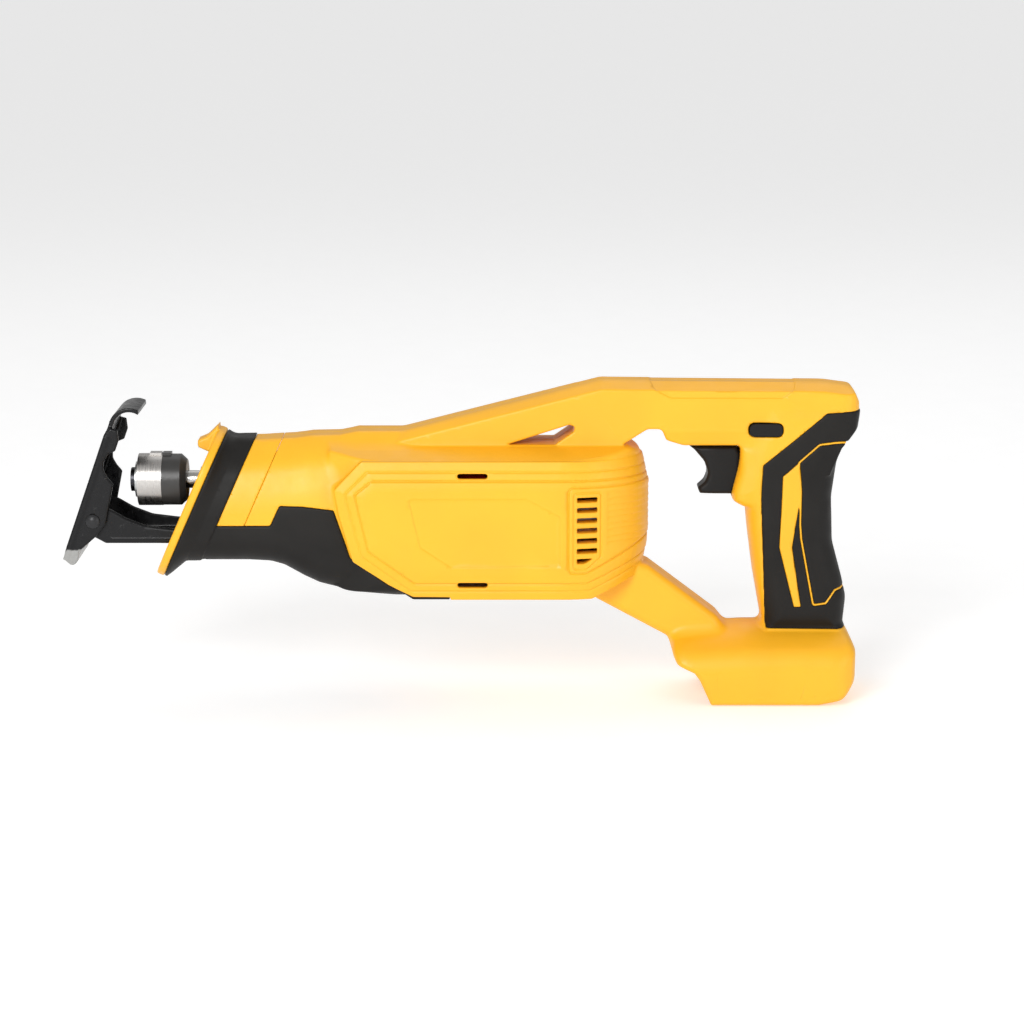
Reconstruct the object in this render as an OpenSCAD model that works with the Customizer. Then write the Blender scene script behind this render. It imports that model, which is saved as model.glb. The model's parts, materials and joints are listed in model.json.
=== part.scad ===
// Cordless reciprocating saw. +Z is up, the blade end points to -X, and the halves meet at Y = 0.
// The origin is the centre of the flat rim under the battery foot.

/* [Body] */
// Width of the motor housing
body_w = 74; // [70:1:80]
// Width of the nose behind the rubber boot
nose_w = 56; // [50:1:60]
// Width of the bridge over the motor
bridge_w = 32; // [28:1:34]
// Wall of the plastic shells
wall = 3; // [2:0.5:4]

/* [Handle] */
// Width of the grip, side to side
grip_w = 34; // [32:1:38]
// Depth of the grip, front to back
grip_depth = 44; // [40:1:46]
// Lean of the grip, bottom backwards
grip_lean = 8.6; // [6:0.2:12]
// Thickness of the rubber over the grip
rubber = 1.8; // [1:0.1:2.5]
// Width of the battery foot
foot_w = 66; // [60:1:72]

/* [Drive] */
// Length of the blade stroke
stroke = 22; // [16:1:22]
// Teeth on the motor pinion
pinion_teeth = 10; // [10:1:10]
// Teeth on the crank gear
crank_teeth = 40; // [40:4:40]
// Radius of the motor can
can_r = 22; // [20:0.5:22.5]

/* [Blade end] */
// Radius of the blade clamp
clamp_r = 13.5; // [12:0.5:13.5]
// Width of the shoe
shoe_w = 41; // [38:1:44]
// Tilt of the guard ring and shoe
slant = 24; // [22:1:26]

/* [Hidden] */
$fn = 48;
big = 400;
eps = 0.01;
run = 0.05;   // running clearance, on the radius
gap = 0.4;    // free gap round buttons

// Heights of the two main axes, and the crank's place
spindle_z = 113;
motor_z = 94;
crank_x = -196;
throw = stroke / 2;

// Planes across the nose, where each meets the spindle axis
ring_rear_x = -298.3;
boot_x = -298.1;
band_x = -282.3;
shell_x = -268.2;

// Colours
yellow = [0.97, 0.72, 0.16];
black = [0.17, 0.16, 0.15];
steel = [0.72, 0.73, 0.75];
dark_steel = [0.28, 0.29, 0.31];
alloy = [0.66, 0.67, 0.69];
copper = [0.78, 0.45, 0.24];
bronze = [0.72, 0.55, 0.3];
red = [0.78, 0.1, 0.07];

// ---- helpers ----

// Extrudes an X-Z outline across Y, centred on the joint between the halves
module across(w) {
    translate([0, w / 2, 0]) rotate([90, 0, 0]) linear_extrude(w) children();
}

// Extrudes a Y-Z section along X
module along_x(x0, x1) {
    translate([x0, 0, 0]) rotate([90, 0, 90]) linear_extrude(x1 - x0) children();
}

// Round rods along each axis
module rod_x(x0, x1, r, z, y = 0) {
    translate([x0, y, z]) rotate([0, 90, 0]) cylinder(h = x1 - x0, r = r);
}
module rod_y(y0, y1, r, x, z) {
    translate([x, y0, z]) rotate([-90, 0, 0]) cylinder(h = y1 - y0, r = r);
}
module rod_z(z0, z1, r, x, y = 0) {
    translate([x, y, z0]) cylinder(h = z1 - z0, r = r);
}

// A rod along X with a hole through it
module ring_rod_x(x0, x1, r, hole_r, z, y = 0) {
    difference() {
        rod_x(x0, x1, r, z, y);
        rod_x(x0 - 1, x1 + 1, hole_r, z, y);
    }
}

// A box given by its lowest and highest corners
module box(low, high) {
    translate(low) cube(high - low);
}

// A rectangle with round corners
module round_rect(w, h, r) {
    square([w - 2 * r, h], center = true);
    square([w, h - 2 * r], center = true);
    for (x = [-1, 1], y = [-1, 1]) translate([x * (w / 2 - r), y * (h / 2 - r)]) circle(r);
}

// Everything ahead of a slanted plane that crosses the spindle axis at x
module ahead_of(x) {
    translate([x, 0, spindle_z]) rotate([0, slant, 0])
        translate([-big, -big / 2, -big / 2]) cube([big, big, big]);
}

// One side of the joint plane: side is -1 for left and 1 for right
module half(side) {
    translate([-big * 1.5, side < 0 ? -big : 0, -big / 2]) cube([big * 2, big, big]);
}

// A wire at one Y, swept along a list of X-Z points
module wire(points, y, r) {
    sides = 10;
    last = len(points) - 1;
    tube = [for (i = [0 : last], j = [0 : sides - 1])
        let (
            back = points[i] - points[max(i - 1, 0)],
            ahead = points[min(i + 1, last)] - points[i],
            along = (i == 0 ? ahead : back / norm(back)) / (i == 0 ? norm(ahead) : 1)
                + (i == last ? back : ahead / norm(ahead)) / (i == last ? norm(back) : 1),
            n = [-along[1], along[0]] / norm(along),
            a = j * 360 / sides
        )
        [points[i][0] + r * sin(a) * n[0], y + r * cos(a), points[i][1] + r * sin(a) * n[1]]];
    skin = [for (i = [0 : last - 1], j = [0 : sides - 1])
        [i * sides + j, i * sides + (j + 1) % sides, (i + 1) * sides + (j + 1) % sides, (i + 1) * sides + j]];
    start = [[for (j = [sides - 1 : -1 : 0]) j]];
    end = [[for (j = [0 : sides - 1]) last * sides + j]];
    polyhedron(tube, concat(skin, start, end));
}

// A coil spring along X
module coil(x0, x1, r, wire_r, turns) {
    sides = 6;
    per_turn = 20;
    steps = turns * per_turn;
    pitch = (x1 - x0 - 2 * wire_r) / steps;
    rings = [for (i = [0 : steps], j = [0 : sides - 1])
        let (a = i * 360 / per_turn, b = j * 360 / sides, rr = r + wire_r * cos(b))
        [x0 + wire_r + i * pitch + wire_r * sin(b), rr * cos(a), rr * sin(a)]];
    skin = [for (i = [0 : steps - 1], j = [0 : sides - 1])
        [i * sides + j, i * sides + (j + 1) % sides, (i + 1) * sides + (j + 1) % sides, (i + 1) * sides + j]];
    first = [[for (j = [sides - 1 : -1 : 0]) j]];
    last = [[for (j = [0 : sides - 1]) steps * sides + j]];
    polyhedron(rings, concat(skin, first, last), convexity = 10);
}

// ---- outer shapes, each shrunk by t to give the inside ----

// Nose and body seen from the side
function side_outline(t) = [
    [-330, 134 - t], [-265, 134.6 - t], [-196, 139.5 - t], [-150, 134.4 - t], [-84, 134.4 - t],
    [-69.5 - t, 124 - t], [-69.5 - t, 71 + t], [-99.9 - t / 2, 56.5 + t], [-200, 56.5 + t],
    [-227, 59.4 + t], [-239, 62 + t], [-246, 65.2 + t], [-258, 72.6 + t], [-275, 74.2 + t], [-330, 74.2 + t]
];

// Body seen from above: it widens behind the nose and ends in a half ellipse
rear_round_x = -115;
rear_round_len = 45.5;
function rear_curve(t) = [for (i = [0 : 12]) let (a = 90 - i * 15)
    [rear_round_x + (rear_round_len - t) * cos(a), (body_w / 2 - t) * sin(a)]];
function plan_outline(t) = concat(
    [[-228, -nose_w / 2 + 1 + t], [-228, nose_w / 2 - 1 - t], [-211, body_w / 2 - t]],
    rear_curve(t),
    [[-211, -body_w / 2 + t]]
);

// Body seen from the front: flat sides with sloping shoulders
function body_section(t) = let (w = body_w / 2) [
    [w - t, 68], [w - t, 122 - t / 2], [w - 15 - t / 2, 140 - t], [-w + 15 + t / 2, 140 - t],
    [-w + t, 122 - t / 2], [-w + t, 68], [-w + 9 + t / 2, 56.5 + t], [w - 9 - t / 2, 56.5 + t]
];

module nose_shape(t = 0) {
    corner = 15;
    front_mid = 104.3;
    belly_mid = 98.5;
    intersection() {
        union() {
            along_x(-330, -250) translate([0, front_mid]) round_rect(nose_w - 2 * t, 62 - 2 * t, corner - t);
            along_x(-256, -226) translate([0, belly_mid]) round_rect(nose_w - 2 * t, 79 - 2 * t, corner - t);
        }
        across(big) polygon(side_outline(t));
    }
}

module body_shape(t = 0) {
    intersection() {
        across(big) polygon(side_outline(t));
        translate([0, 0, 20]) linear_extrude(160) polygon(plan_outline(t));
        along_x(-228, -60) polygon(body_section(t));
    }
}

// Bridge from the nose over the motor to the top of the handle
function bridge_outline(t) = [
    [-203 + 2 * t, 128], [-196 + 2 * t, 139.5 - t], [-94.3, 166.2 - t], [19.7, 165.2 - t],
    [33.4 - t, 163.2 - t], [37.2 - t, 155], [36.5 - t, 146], [29 - t, 132], [23 - t, 118],
    [-19 + t, 118], [-21 + t, 132.8 + t], [-55.6, 132.8 + t], [-60, 137 + t], [-65, 141.3 + t],
    [-71.3, 140 + t], [-82 - t, 134.4], [-86, 128]
];
rise_angle = 14.2;
knee = [-94.3, 166.2];
roof_w = 10;
roof_drop = 4;

module bridge_shape(t = 0) {
    w = bridge_w / 2 - t;
    section = [[-w, -90], [w, -90], [w, -roof_drop - t], [w - roof_w, -t], [-w + roof_w, -t],
        [-w, -roof_drop - t]];
    intersection() {
        across(big) polygon(bridge_outline(t));
        union() {
            translate([knee[0], 0, knee[1]]) rotate([0, -rise_angle, 0]) along_x(-130, 0) polygon(section);
            translate([knee[0], 0, knee[1] - 0.3]) along_x(-14, 140) polygon(section);
        }
    }
}

// Grip, leaning back towards its foot
grip_top = [2.7, 104];
module handle_shape(t = 0, low = -68, high = 34) {
    translate([grip_top[0], 0, grip_top[1]]) rotate([0, -grip_lean, 0]) translate([0, 0, low])
        linear_extrude(high - low) round_rect(grip_depth - 2 * t, grip_w - 2 * t, 14 - t);
}

// Strut from the back of the body down to the foot
strut_w = 28;
function strut_outline(t) = [
    [-100, 56.5 + t], [-57.8, 31.6 + t], [-46, 30 + t], [-30, 36], [-32.2, 42 - t], [-70, 70 - t],
    [-100, 70 - t]
];
module strut_shape(t = 0) {
    across(strut_w - 2 * t) polygon(strut_outline(t));
}

// Foot that the battery slides into, from the front
foot_front = -57.8;
foot_rear = 38.6;
bay_top = 17;
function foot_outline(t) = [
    [foot_front + t, 30.5], [-52.7 + t, 19.6 + t], [-44.6, 16.4 + t], [-36.3, 0], [26, 0],
    [34, 3.5], [foot_rear - t, 12.3], [foot_rear - t, 27], [35.5 - t, 32], [28 - t, 36 - t], [20, 37.5 - t],
    [-44, 37.5 - t], [-52 + t / 2, 35 - t]
];
module foot_shape(t = 0) {
    mid = (foot_front + foot_rear) / 2;
    top_r = 11;
    intersection() {
        across(big) polygon(foot_outline(t));
        linear_extrude(60) translate([mid, 0])
            round_rect(foot_rear - foot_front - 2 * t, foot_w - 2 * t, 13 - t);
        along_x(-70, 50) translate([0, 12.5]) round_rect(foot_w - 2 * t, 50 - 2 * t, top_r - t);
    }
}

// ---- shell details ----

// Places of the screws through both halves, as X and Z
screws = [[-182, 64.5], [-190, 131], [-100, 64], [-97, 127.5], [-76, 155.5], [26, 151], [20, 58], [-66, 47]];
screw_r = 1.8;
screw_head_r = 3.6;
screw_head_y = 9;
screw_head_h = 2.6;
screw_tip_y = -12;
boss_r = 5.2;

module screw_bosses(side) {
    for (p = screws) rod_y(side < 0 ? -60 : 0, side < 0 ? 0 : 60, boss_r, p[0], p[1]);
}
module screw_holes(side) {
    for (p = screws) {
        if (side < 0) rod_y(screw_tip_y - 1, 1, screw_r + 0.1, p[0], p[1]);
        if (side > 0) rod_y(-1, 60, screw_r + 0.3, p[0], p[1]);
        if (side > 0) rod_y(screw_head_y, 60, screw_head_r + 0.4, p[0], p[1]);
    }
}

// Air vents beside the motor brushes, and slots beside the fan
vent_count = 7;
vent_pitch = 5.28;
vent_low_z = 75.9;
vent_x = [-106.9, -96.5];
vent_h = 2.2;
slot_x = [-168, -152];
slot_h = 2.6;
slot_z = [63, 119.4];
module air_openings() {
    for (side = [-1, 1]) {
        for (i = [0 : vent_count - 1]) {
            z = vent_low_z + i * vent_pitch;
            box([vent_x[0], side > 0 ? 28 : -45, z], [vent_x[1], side > 0 ? 45 : -28, z + vent_h]);
        }
        for (z = slot_z)
            box([slot_x[0], side > 0 ? 28 : -45, z], [slot_x[1], side > 0 ? 45 : -28, z + slot_h]);
    }
}

// Ribs that hold the motor can and the gear case
module ribs() {
    for (x = [-142, -102]) difference() {
        intersection() {
            box([x, -60, 40], [x + 2.5, 60, 160]);
            body_shape(wall - 0.5);
        }
        rod_x(x - 1, x + 4, can_r + run, motor_z);
    }
}

// Gap through the top of the body, under the rising bridge
module bridge_gap() {
    across(big) polygon([[-143, 133.9], [-119.5, 133.9], [-108, 140.6], [-110, 141.4]]);
}

trigger_w = 16;
module trigger_opening() {
    box([-32, -trigger_w / 2 - gap, 105.8], [-14, trigger_w / 2 + gap, 131.9]);
}

button_x = -9.9;
button_z = 141.4;
button_len = 16.8;
button_h = 6.4;
button_corner = 2.6;
module button_slot() {
    across(60) translate([button_x, button_z])
        round_rect(button_len + 2 * gap, button_h + 2 * gap, button_corner + gap);
}

bay_w = 54;
bay_rear_x = 20;
module battery_bay() {
    box([-80, -bay_w / 2, -1], [bay_rear_x, bay_w / 2, bay_top]);
    for (y = [-4, 4]) rod_z(bay_top - 1, 30, 2, 12, y);
}

// Space inside each shell
module cavity() {
    nose_shape(wall);
    body_shape(wall);
    bridge_shape(wall);
    handle_shape(wall + rubber, -75, 34);
    strut_shape(wall);
    difference() {
        foot_shape(wall);
        box([-80, -60, -10], [60, 60, bay_top + wall]);
    }
}

// Area of the rubber grip, seen from the side
grip_outline = [
    [45, 148.5], [22, 152.5], [-8, 127], [-9, 104], [-9, 38], [45, 38]
];
module grip_area() {
    across(big) polygon(grip_outline);
}
module grip_skin(side) {
    intersection() {
        difference() {
            union() {
                handle_shape(0, -65, 34);
                bridge_shape();
            }
            handle_shape(rubber, -90, 34);
            bridge_shape(rubber);
        }
        grip_area();
        half(side);
    }
}

// Lower front area that the rubber boot covers, seen from the side
belly_outline = [
    [-330, 93.6], [-264.6, 93.6], [-258, 103.2], [-231, 101.5], [-222.7, 77.1], [-202.9, 63.8], [-190.3, 57.5],
    [-171.5, 57.5], [-171.5, 40], [-330, 40]
];

module shell(side) {
    color(yellow) difference() {
        union() {
            difference() {
                union() {
                    nose_shape();
                    body_shape();
                    bridge_shape();
                    handle_shape();
                    strut_shape();
                    foot_shape();
                }
                cavity();
            }
            intersection() {
                union() {
                    nose_shape(eps);
                    body_shape(eps);
                    bridge_shape(eps);
                    handle_shape(eps);
                    strut_shape(eps);
                }
                screw_bosses(side);
            }
            ribs();
        }
        half(-side);
        ahead_of(shell_x);
        across(big) polygon(belly_outline);
        grip_skin(side);
        screw_holes(side);
        air_openings();
        bridge_gap();
        trigger_opening();
        button_slot();
        battery_bay();
    }
}

module left_housing() {
    shell(-1);
}
module right_housing() {
    shell(1);
}

module left_grip() {
    color(black) grip_skin(-1);
}
module right_grip() {
    color(black) grip_skin(1);
}

module nose_band() {
    color(yellow) difference() {
        intersection() {
            nose_shape();
            ahead_of(shell_x);
        }
        nose_shape(wall);
        ahead_of(band_x);
        across(big) polygon(belly_outline);
    }
}

// ---- guard ring and boot ----

ring_mid = [-307.5, 102.7];
ring_h = 82.5;
ring_w = 62;
ring_t = 4.2;
mouth_h = 56;
mouth_w = 40;
mouth_r = 12;
module slanted_oval(h, w, r, x0, x1) {
    translate([ring_mid[0], 0, ring_mid[1]]) rotate([0, slant, 0]) along_x(x0, x1) round_rect(w, h, r);
}

// The light sits in a hood at the top of the ring
light_z = 131.6;
light_r = 2;
module guard_ring() {
    hood_front = -301.5;
    hood_rear = -288;
    color(yellow) difference() {
        union() {
            slanted_oval(ring_h, ring_w, 27, 0, ring_t);
            intersection() {
                box([hood_front, -6.5, 129], [hood_rear, 6.5, 138.5]);
                ahead_of(ring_rear_x);
            }
        }
        slanted_oval(mouth_h, mouth_w, mouth_r, -5, ring_t + 5);
        rod_x(hood_front - 1, hood_front + 4, light_r + run, light_z);
        box([hood_front + 3.5, -5, 130.2], [hood_rear + 1, 5, 135.2]);
    }
}

module led_lens() {
    color([0.95, 0.95, 0.9]) {
        rod_x(-302, -298.2, light_r, light_z);
        translate([-302, 0, light_z]) rotate([0, 90, 0]) cylinder(h = 0.5, r = light_r - 0.4);
    }
}

module led_board() {
    color([0.1, 0.35, 0.16]) box([-297.9, -4.6, 130.4], [-296.4, 4.6, 135]);
    color([0.9, 0.85, 0.4]) box([-298.15, -1.2, light_z - 1.1], [-297.9, 1.2, light_z + 1.1]);
}

module nose_boot() {
    lip_t = 5;
    skin = 0.9;
    color(black) difference() {
        union() {
            slanted_oval(ring_h - 0.8, ring_w - 0.6, 26.6, ring_t, ring_t + lip_t);
            slanted_oval(ring_h - 8, ring_w - 3, 25, ring_t + lip_t, ring_t + lip_t + 3);
            intersection() {
                nose_shape(-skin);
                ahead_of(band_x);
            }
            difference() {
                intersection() {
                    union() {
                        nose_shape(-0.3);
                        body_shape();
                    }
                    across(big) polygon(belly_outline);
                }
                ahead_of(band_x);
            }
        }
        translate([0.02, 0, 0]) ahead_of(boot_x);
        nose_shape(wall);
        body_shape(wall);
        slanted_oval(mouth_h, mouth_w, mouth_r, -5, 20);
    }
}

// ---- fasteners of the shell ----

module housing_screws() {
    color(dark_steel) for (p = screws) difference() {
        union() {
            rod_y(screw_tip_y, screw_head_y, screw_r, p[0], p[1]);
            rod_y(screw_head_y, screw_head_y + screw_head_h, screw_head_r, p[0], p[1]);
        }
        translate([p[0], screw_head_y + 1, p[1]]) rotate([-90, 0, 0]) cylinder(h = 3, r = 1.7, $fn = 6);
    }
}

// ---- battery foot ----

module battery_rails() {
    color(black) for (side = [-1, 1]) {
        y0 = side > 0 ? 21 : -bay_w / 2;
        y1 = side > 0 ? bay_w / 2 : -21;
        box([-36, y0, 3.5], [bay_rear_x, y1, 7]);
    }
}

blade_y = [-12, -4, 4, 12];
module terminal_block() {
    color(black) difference() {
        union() {
            box([-10, -18, 9], [bay_rear_x, 18, bay_top]);
            box([-16, -18, 14.6], [-10, 18, bay_top]);
        }
        for (y = blade_y) box([-11, y - 0.4, 9.8], [-4.2, y + 0.4, 14.2]);
    }
}

module terminal_blades() {
    color(bronze) for (y = blade_y) box([-24, y - 0.4, 9.8], [-4.2, y + 0.4, 14.2]);
}

// ---- controls ----

trigger_outline = [
    [-48.3, 131.2], [-24, 131.2], [-21.8, 126.6], [-21.8, 119.3], [-24, 109.4], [-25.8, 106.5], [-41, 106.5],
    [-43, 107.2], [-44, 109.7], [-44.7, 128.5]
];
module trigger() {
    color(black) {
        difference() {
            across(trigger_w) polygon(trigger_outline);
            rod_y(-20, 20, 10.3, -48.5, 119.1);
        }
        rod_x(-23, -13, 3, 119);
    }
}

module lock_button() {
    color(black) across(bridge_w + 3) translate([button_x, button_z])
        round_rect(button_len, button_h, button_corner);
}

module switch_module() {
    color([0.22, 0.22, 0.24]) difference() {
        union() {
            box([-12, -10, 107], [15, 10, 130]);
            box([-6, -7, 130], [10, 7, 133]);
        }
        rod_x(-13, -4, 3.1, 119);
    }
}

// ---- wires, held by the shells ----

wire_r = 1.4;
module battery_lead(y) {
    wire([[12, bay_top], [12, 30], [10, 48], [7, 72], [4, 94], [2.5, 107]], y, wire_r);
}
module motor_lead(y) {
    wire([[6, 133], [6, 144], [3, 149], [-4, 151], [-60, 148], [-76, 145.5], [-85, 141], [-88, 135],
        [-88, 129], [-85, 120], [-80.5, 112], [-81, 105], [-84, 103.5]], y, wire_r);
}
module battery_lead_red() {
    color(red) battery_lead(-4);
}
module battery_lead_black() {
    color(black) battery_lead(4);
}
module motor_lead_red() {
    color(red) motor_lead(-4);
}
module motor_lead_black() {
    color(black) motor_lead(4);
}

// ---- motor ----

can_front = -150;
can_rear = -96;
cap_rear = -84;
shaft_r = 2.5;
core_r = 15.8;
magnet_r = 16.4;
can_wall = 2.4;

module motor_can() {
    color(steel) ring_rod_x(can_front, can_rear, can_r, can_r - can_wall, motor_z);
}

module motor_magnets() {
    color(dark_steel) difference() {
        ring_rod_x(can_front + 6, can_rear - 6, can_r - can_wall, magnet_r, motor_z);
        for (side = [-1, 1]) box([can_front, side > 0 ? 13 : -40, 60], [can_rear, side > 0 ? 40 : -13, 130]);
    }
}

module motor_front_plate() {
    color(steel) difference() {
        union() {
            rod_x(can_front - 2.5, can_front, can_r, motor_z);
            rod_x(can_front - 5, can_front - 2.5, 9, motor_z);
            ring_rod_x(can_front, can_front + 2.5, can_r - can_wall - run, 14, motor_z);
        }
        rod_x(can_front - 6, can_front + 6, 8, motor_z);
        for (a = [45 : 90 : 315]) translate([0, 15 * cos(a), 15 * sin(a)])
            rod_x(can_front - 4, can_front + 4, 2.6, motor_z);
    }
}

module motor_end_cap() {
    color(black) difference() {
        union() {
            rod_x(can_rear, cap_rear, can_r, motor_z);
            rod_x(can_rear - 3, can_rear, can_r - can_wall - run, motor_z);
        }
        rod_x(can_rear - 4, can_rear + 8, 17.5, motor_z);
        rod_x(can_rear, cap_rear + 1, 7, motor_z);
        for (side = [-1, 1]) box([-94.2, side > 0 ? 16 : -24, motor_z - 3.1], [-87.8, side > 0 ? 24 : -16,
            motor_z + 3.1]);
    }
}

module bearing(x0, x1, r, bore_r) {
    mid = (x0 + x1) / 2;
    ball_r = (r - bore_r) * 0.28;
    track_r = (r + bore_r) / 2;
    ring_rod_x(x0, x1, r, track_r + ball_r * 0.7, motor_z);
    ring_rod_x(x0, x1, track_r - ball_r * 0.7, bore_r, motor_z);
    ring_rod_x(mid - 0.6, mid + 0.6, track_r + ball_r * 0.7, track_r - ball_r * 0.7, motor_z);
}
module motor_front_bearing() {
    color(steel) bearing(can_front - 4.6, can_front + 0.4, 8, shaft_r + run);
}
module motor_rear_bearing() {
    color(steel) bearing(-88.5, cap_rear - 0.2, 7, shaft_r + run);
}

brush_x = -91;
module carbon_brushes() {
    color([0.2, 0.2, 0.22]) for (side = [-1, 1])
        box([brush_x - 3, side > 0 ? 7.3 : -17.4, motor_z - 3], [brush_x + 3, side > 0 ? 17.4 : -7.3,
            motor_z + 3]);
}

module motor_shaft() {
    color(steel) rod_x(-176.6, -83, shaft_r, motor_z);
}

module armature_core() {
    color(dark_steel) difference() {
        ring_rod_x(-138, -108, core_r, shaft_r, motor_z);
        for (a = [0 : 30 : 330]) translate([0, 13.4 * cos(a), motor_z + 13.4 * sin(a)])
            rotate([a, 0, 0]) box([-139, -1.4, -1.4], [-107, 4, 1.4]);
    }
}

module armature_windings() {
    color(copper) {
        ring_rod_x(-144.5, -138, 14, 4.5, motor_z);
        ring_rod_x(-108, -102, 14, 4.5, motor_z);
        for (a = [0 : 30 : 330]) translate([0, 13.4 * cos(a), motor_z + 13.4 * sin(a)])
            rotate([a, 0, 0]) box([-138, -1.1, -1.1], [-108, 0.5, 1.1]);
    }
}

module commutator() {
    color(copper) difference() {
        ring_rod_x(-101.6, -89, 7, shaft_r, motor_z);
        for (a = [15 : 30 : 345]) translate([0, 6.6 * cos(a), motor_z + 6.6 * sin(a)])
            rotate([a, 0, 0]) box([-99, -0.6, -0.25], [-88, 1, 0.25]);
    }
}

fan_x = [-164, -156.5];
module cooling_fan() {
    blades = 9;
    color([0.2, 0.2, 0.2]) {
        ring_rod_x(fan_x[0], fan_x[0] + 1.8, 24, shaft_r, motor_z);
        ring_rod_x(fan_x[0] + 1.8, fan_x[1], 6, shaft_r, motor_z);
        for (i = [0 : blades - 1]) translate([0, 0, motor_z]) rotate([i * 360 / blades, 0, 0])
            box([fan_x[0] + 1, 9, -0.7], [fan_x[1], 23.5, 0.7]);
    }
}

module fan_baffle() {
    color(red) {
        ring_rod_x(-166.5, -155.5, 30.5, 27, motor_z);
        difference() {
            ring_rod_x(-155.5, -153.7, 30.5, 22.4, motor_z);
            box([-156, -40, 100], [-150, -28, 130]);
        }
    }
}

// ---- gears ----

mesh_r = 24.5;
crank_pitch = 360 / crank_teeth;
pinion_r = mesh_r * pinion_teeth / crank_teeth;
mesh_z = motor_z + pinion_r;
tooth_up = 0.9;
tooth_down = 1.3;
gear_root_z = mesh_z + tooth_down;
gear_top_z = 105;
gear_r = 27.4;
tooth_in_r = 22;

module motor_pinion() {
    root_r = pinion_r - tooth_down;
    tip_r = pinion_r + tooth_up;
    x0 = crank_x + tooth_in_r - 1;
    color(steel) {
        ring_rod_x(x0, x0 + 8, root_r, shaft_r, motor_z);
        for (i = [0 : pinion_teeth - 1]) translate([0, 0, motor_z]) rotate([i * 360 / pinion_teeth, 0, 0])
            along_x(x0, x0 + 8)
                polygon([[-0.75, root_r - 0.4], [0.75, root_r - 0.4], [0.45, tip_r], [-0.45, tip_r]]);
    }
}

// A face tooth, tapered towards the axle
module crank_tooth() {
    half_angle = crank_pitch * 0.16;
    foot_angle = crank_pitch * 0.22;
    tip = mesh_z - tooth_up;
    in_r = tooth_in_r;
    out_r = gear_r;
    points = [for (z = [[tip, half_angle], [gear_root_z + 0.3, foot_angle]], p = [[in_r, -1], [out_r, -1],
        [out_r, 1], [in_r, 1]]) [p[0] * cos(p[1] * z[1]), p[0] * sin(p[1] * z[1]), z[0]]];
    polyhedron(points, [[0, 1, 2, 3], [7, 6, 5, 4], [4, 5, 1, 0], [5, 6, 2, 1], [6, 7, 3, 2], [7, 4, 0, 3]]);
}

axle_r = 5;
pin_r = 3;
module crank_gear() {
    color(steel) translate([crank_x, 0, 0]) {
        difference() {
            union() {
                rod_z(gear_root_z, gear_top_z, gear_r, 0);
                rod_z(gear_root_z - 2.4, gear_root_z, 9.4, 0);
            }
            rod_z(gear_root_z - 3, gear_top_z + 1, axle_r, 0);
            rod_z(gear_root_z - 1, gear_top_z + 1, pin_r, 0, -throw);
            for (a = [30, 90, 150]) rotate([0, 0, a]) rod_z(gear_root_z - 1, gear_top_z + 1, 4, 16);
        }
        for (i = [0 : crank_teeth - 1]) rotate([0, 0, (i + 0.5) * crank_pitch]) crank_tooth();
    }
}
module crank_axle() {
    color(steel) rod_z(77, gear_top_z, axle_r, crank_x);
}
module crank_pin() {
    color(steel) rod_z(gear_root_z, 109.4, pin_r, crank_x, -throw);
}
roller_r = 5.6;
module crank_roller() {
    color(bronze) difference() {
        rod_z(gear_top_z + 0.1, 109.2, roller_r, crank_x, -throw);
        rod_z(gear_top_z - 1, 110, pin_r + run, crank_x, -throw);
    }
}

module bearing_z(z0, z1, r, bore_r) {
    translate([crank_x, 0, z0]) difference() {
        cylinder(h = z1 - z0, r = r);
        translate([0, 0, -1]) cylinder(h = z1 - z0 + 2, r = bore_r);
        for (z = [-eps, z1 - z0 - 0.6 + eps]) translate([0, 0, z]) difference() {
            cylinder(h = 0.6, r = r - 1.8);
            translate([0, 0, -1]) cylinder(h = 3, r = bore_r + 1.6);
        }
    }
}
module crank_upper_bearing() {
    color(steel) bearing_z(90.5, 97.5, 11, axle_r + run);
}
module crank_lower_bearing() {
    color(steel) bearing_z(77, 84, 10, axle_r + run);
}

case_r = 31;
case_split = 107;
case_flat_x = -169.5;
tube_r = 14.5;
tube_x = [-288, -225];
case_bolts = [[-222.5, 21.5], [-222.5, -21.5], [-175, 27], [-175, -27]];

module gear_case() {
    color(alloy) difference() {
        union() {
            intersection() {
                rod_z(72, case_split, case_r, crank_x);
                box([-260, -60, 60], [case_flat_x, 60, 140]);
            }
            for (p = case_bolts) rod_z(95, case_split, 4, p[0], p[1]);
        }
        rod_z(98, case_split + 1, 28.4, crank_x);
        rod_x(-260, tube_x[1] + 8, tube_r, spindle_z);
        difference() {
            rod_z(75, 99, 27.5, crank_x);
            rod_z(60, 98, 13.5, crank_x);
        }
        rod_z(90.4, 99, 11, crank_x);
        rod_z(76.9, 91, 10, crank_x);
        rod_x(-178, case_flat_x + 5, 8, motor_z);
        box([-180, -8.2, motor_z - 5], [-168, 8.2, 100]);
        for (p = case_bolts) rod_z(96, case_split + 1, 1.5, p[0], p[1]);
    }
}

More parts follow.
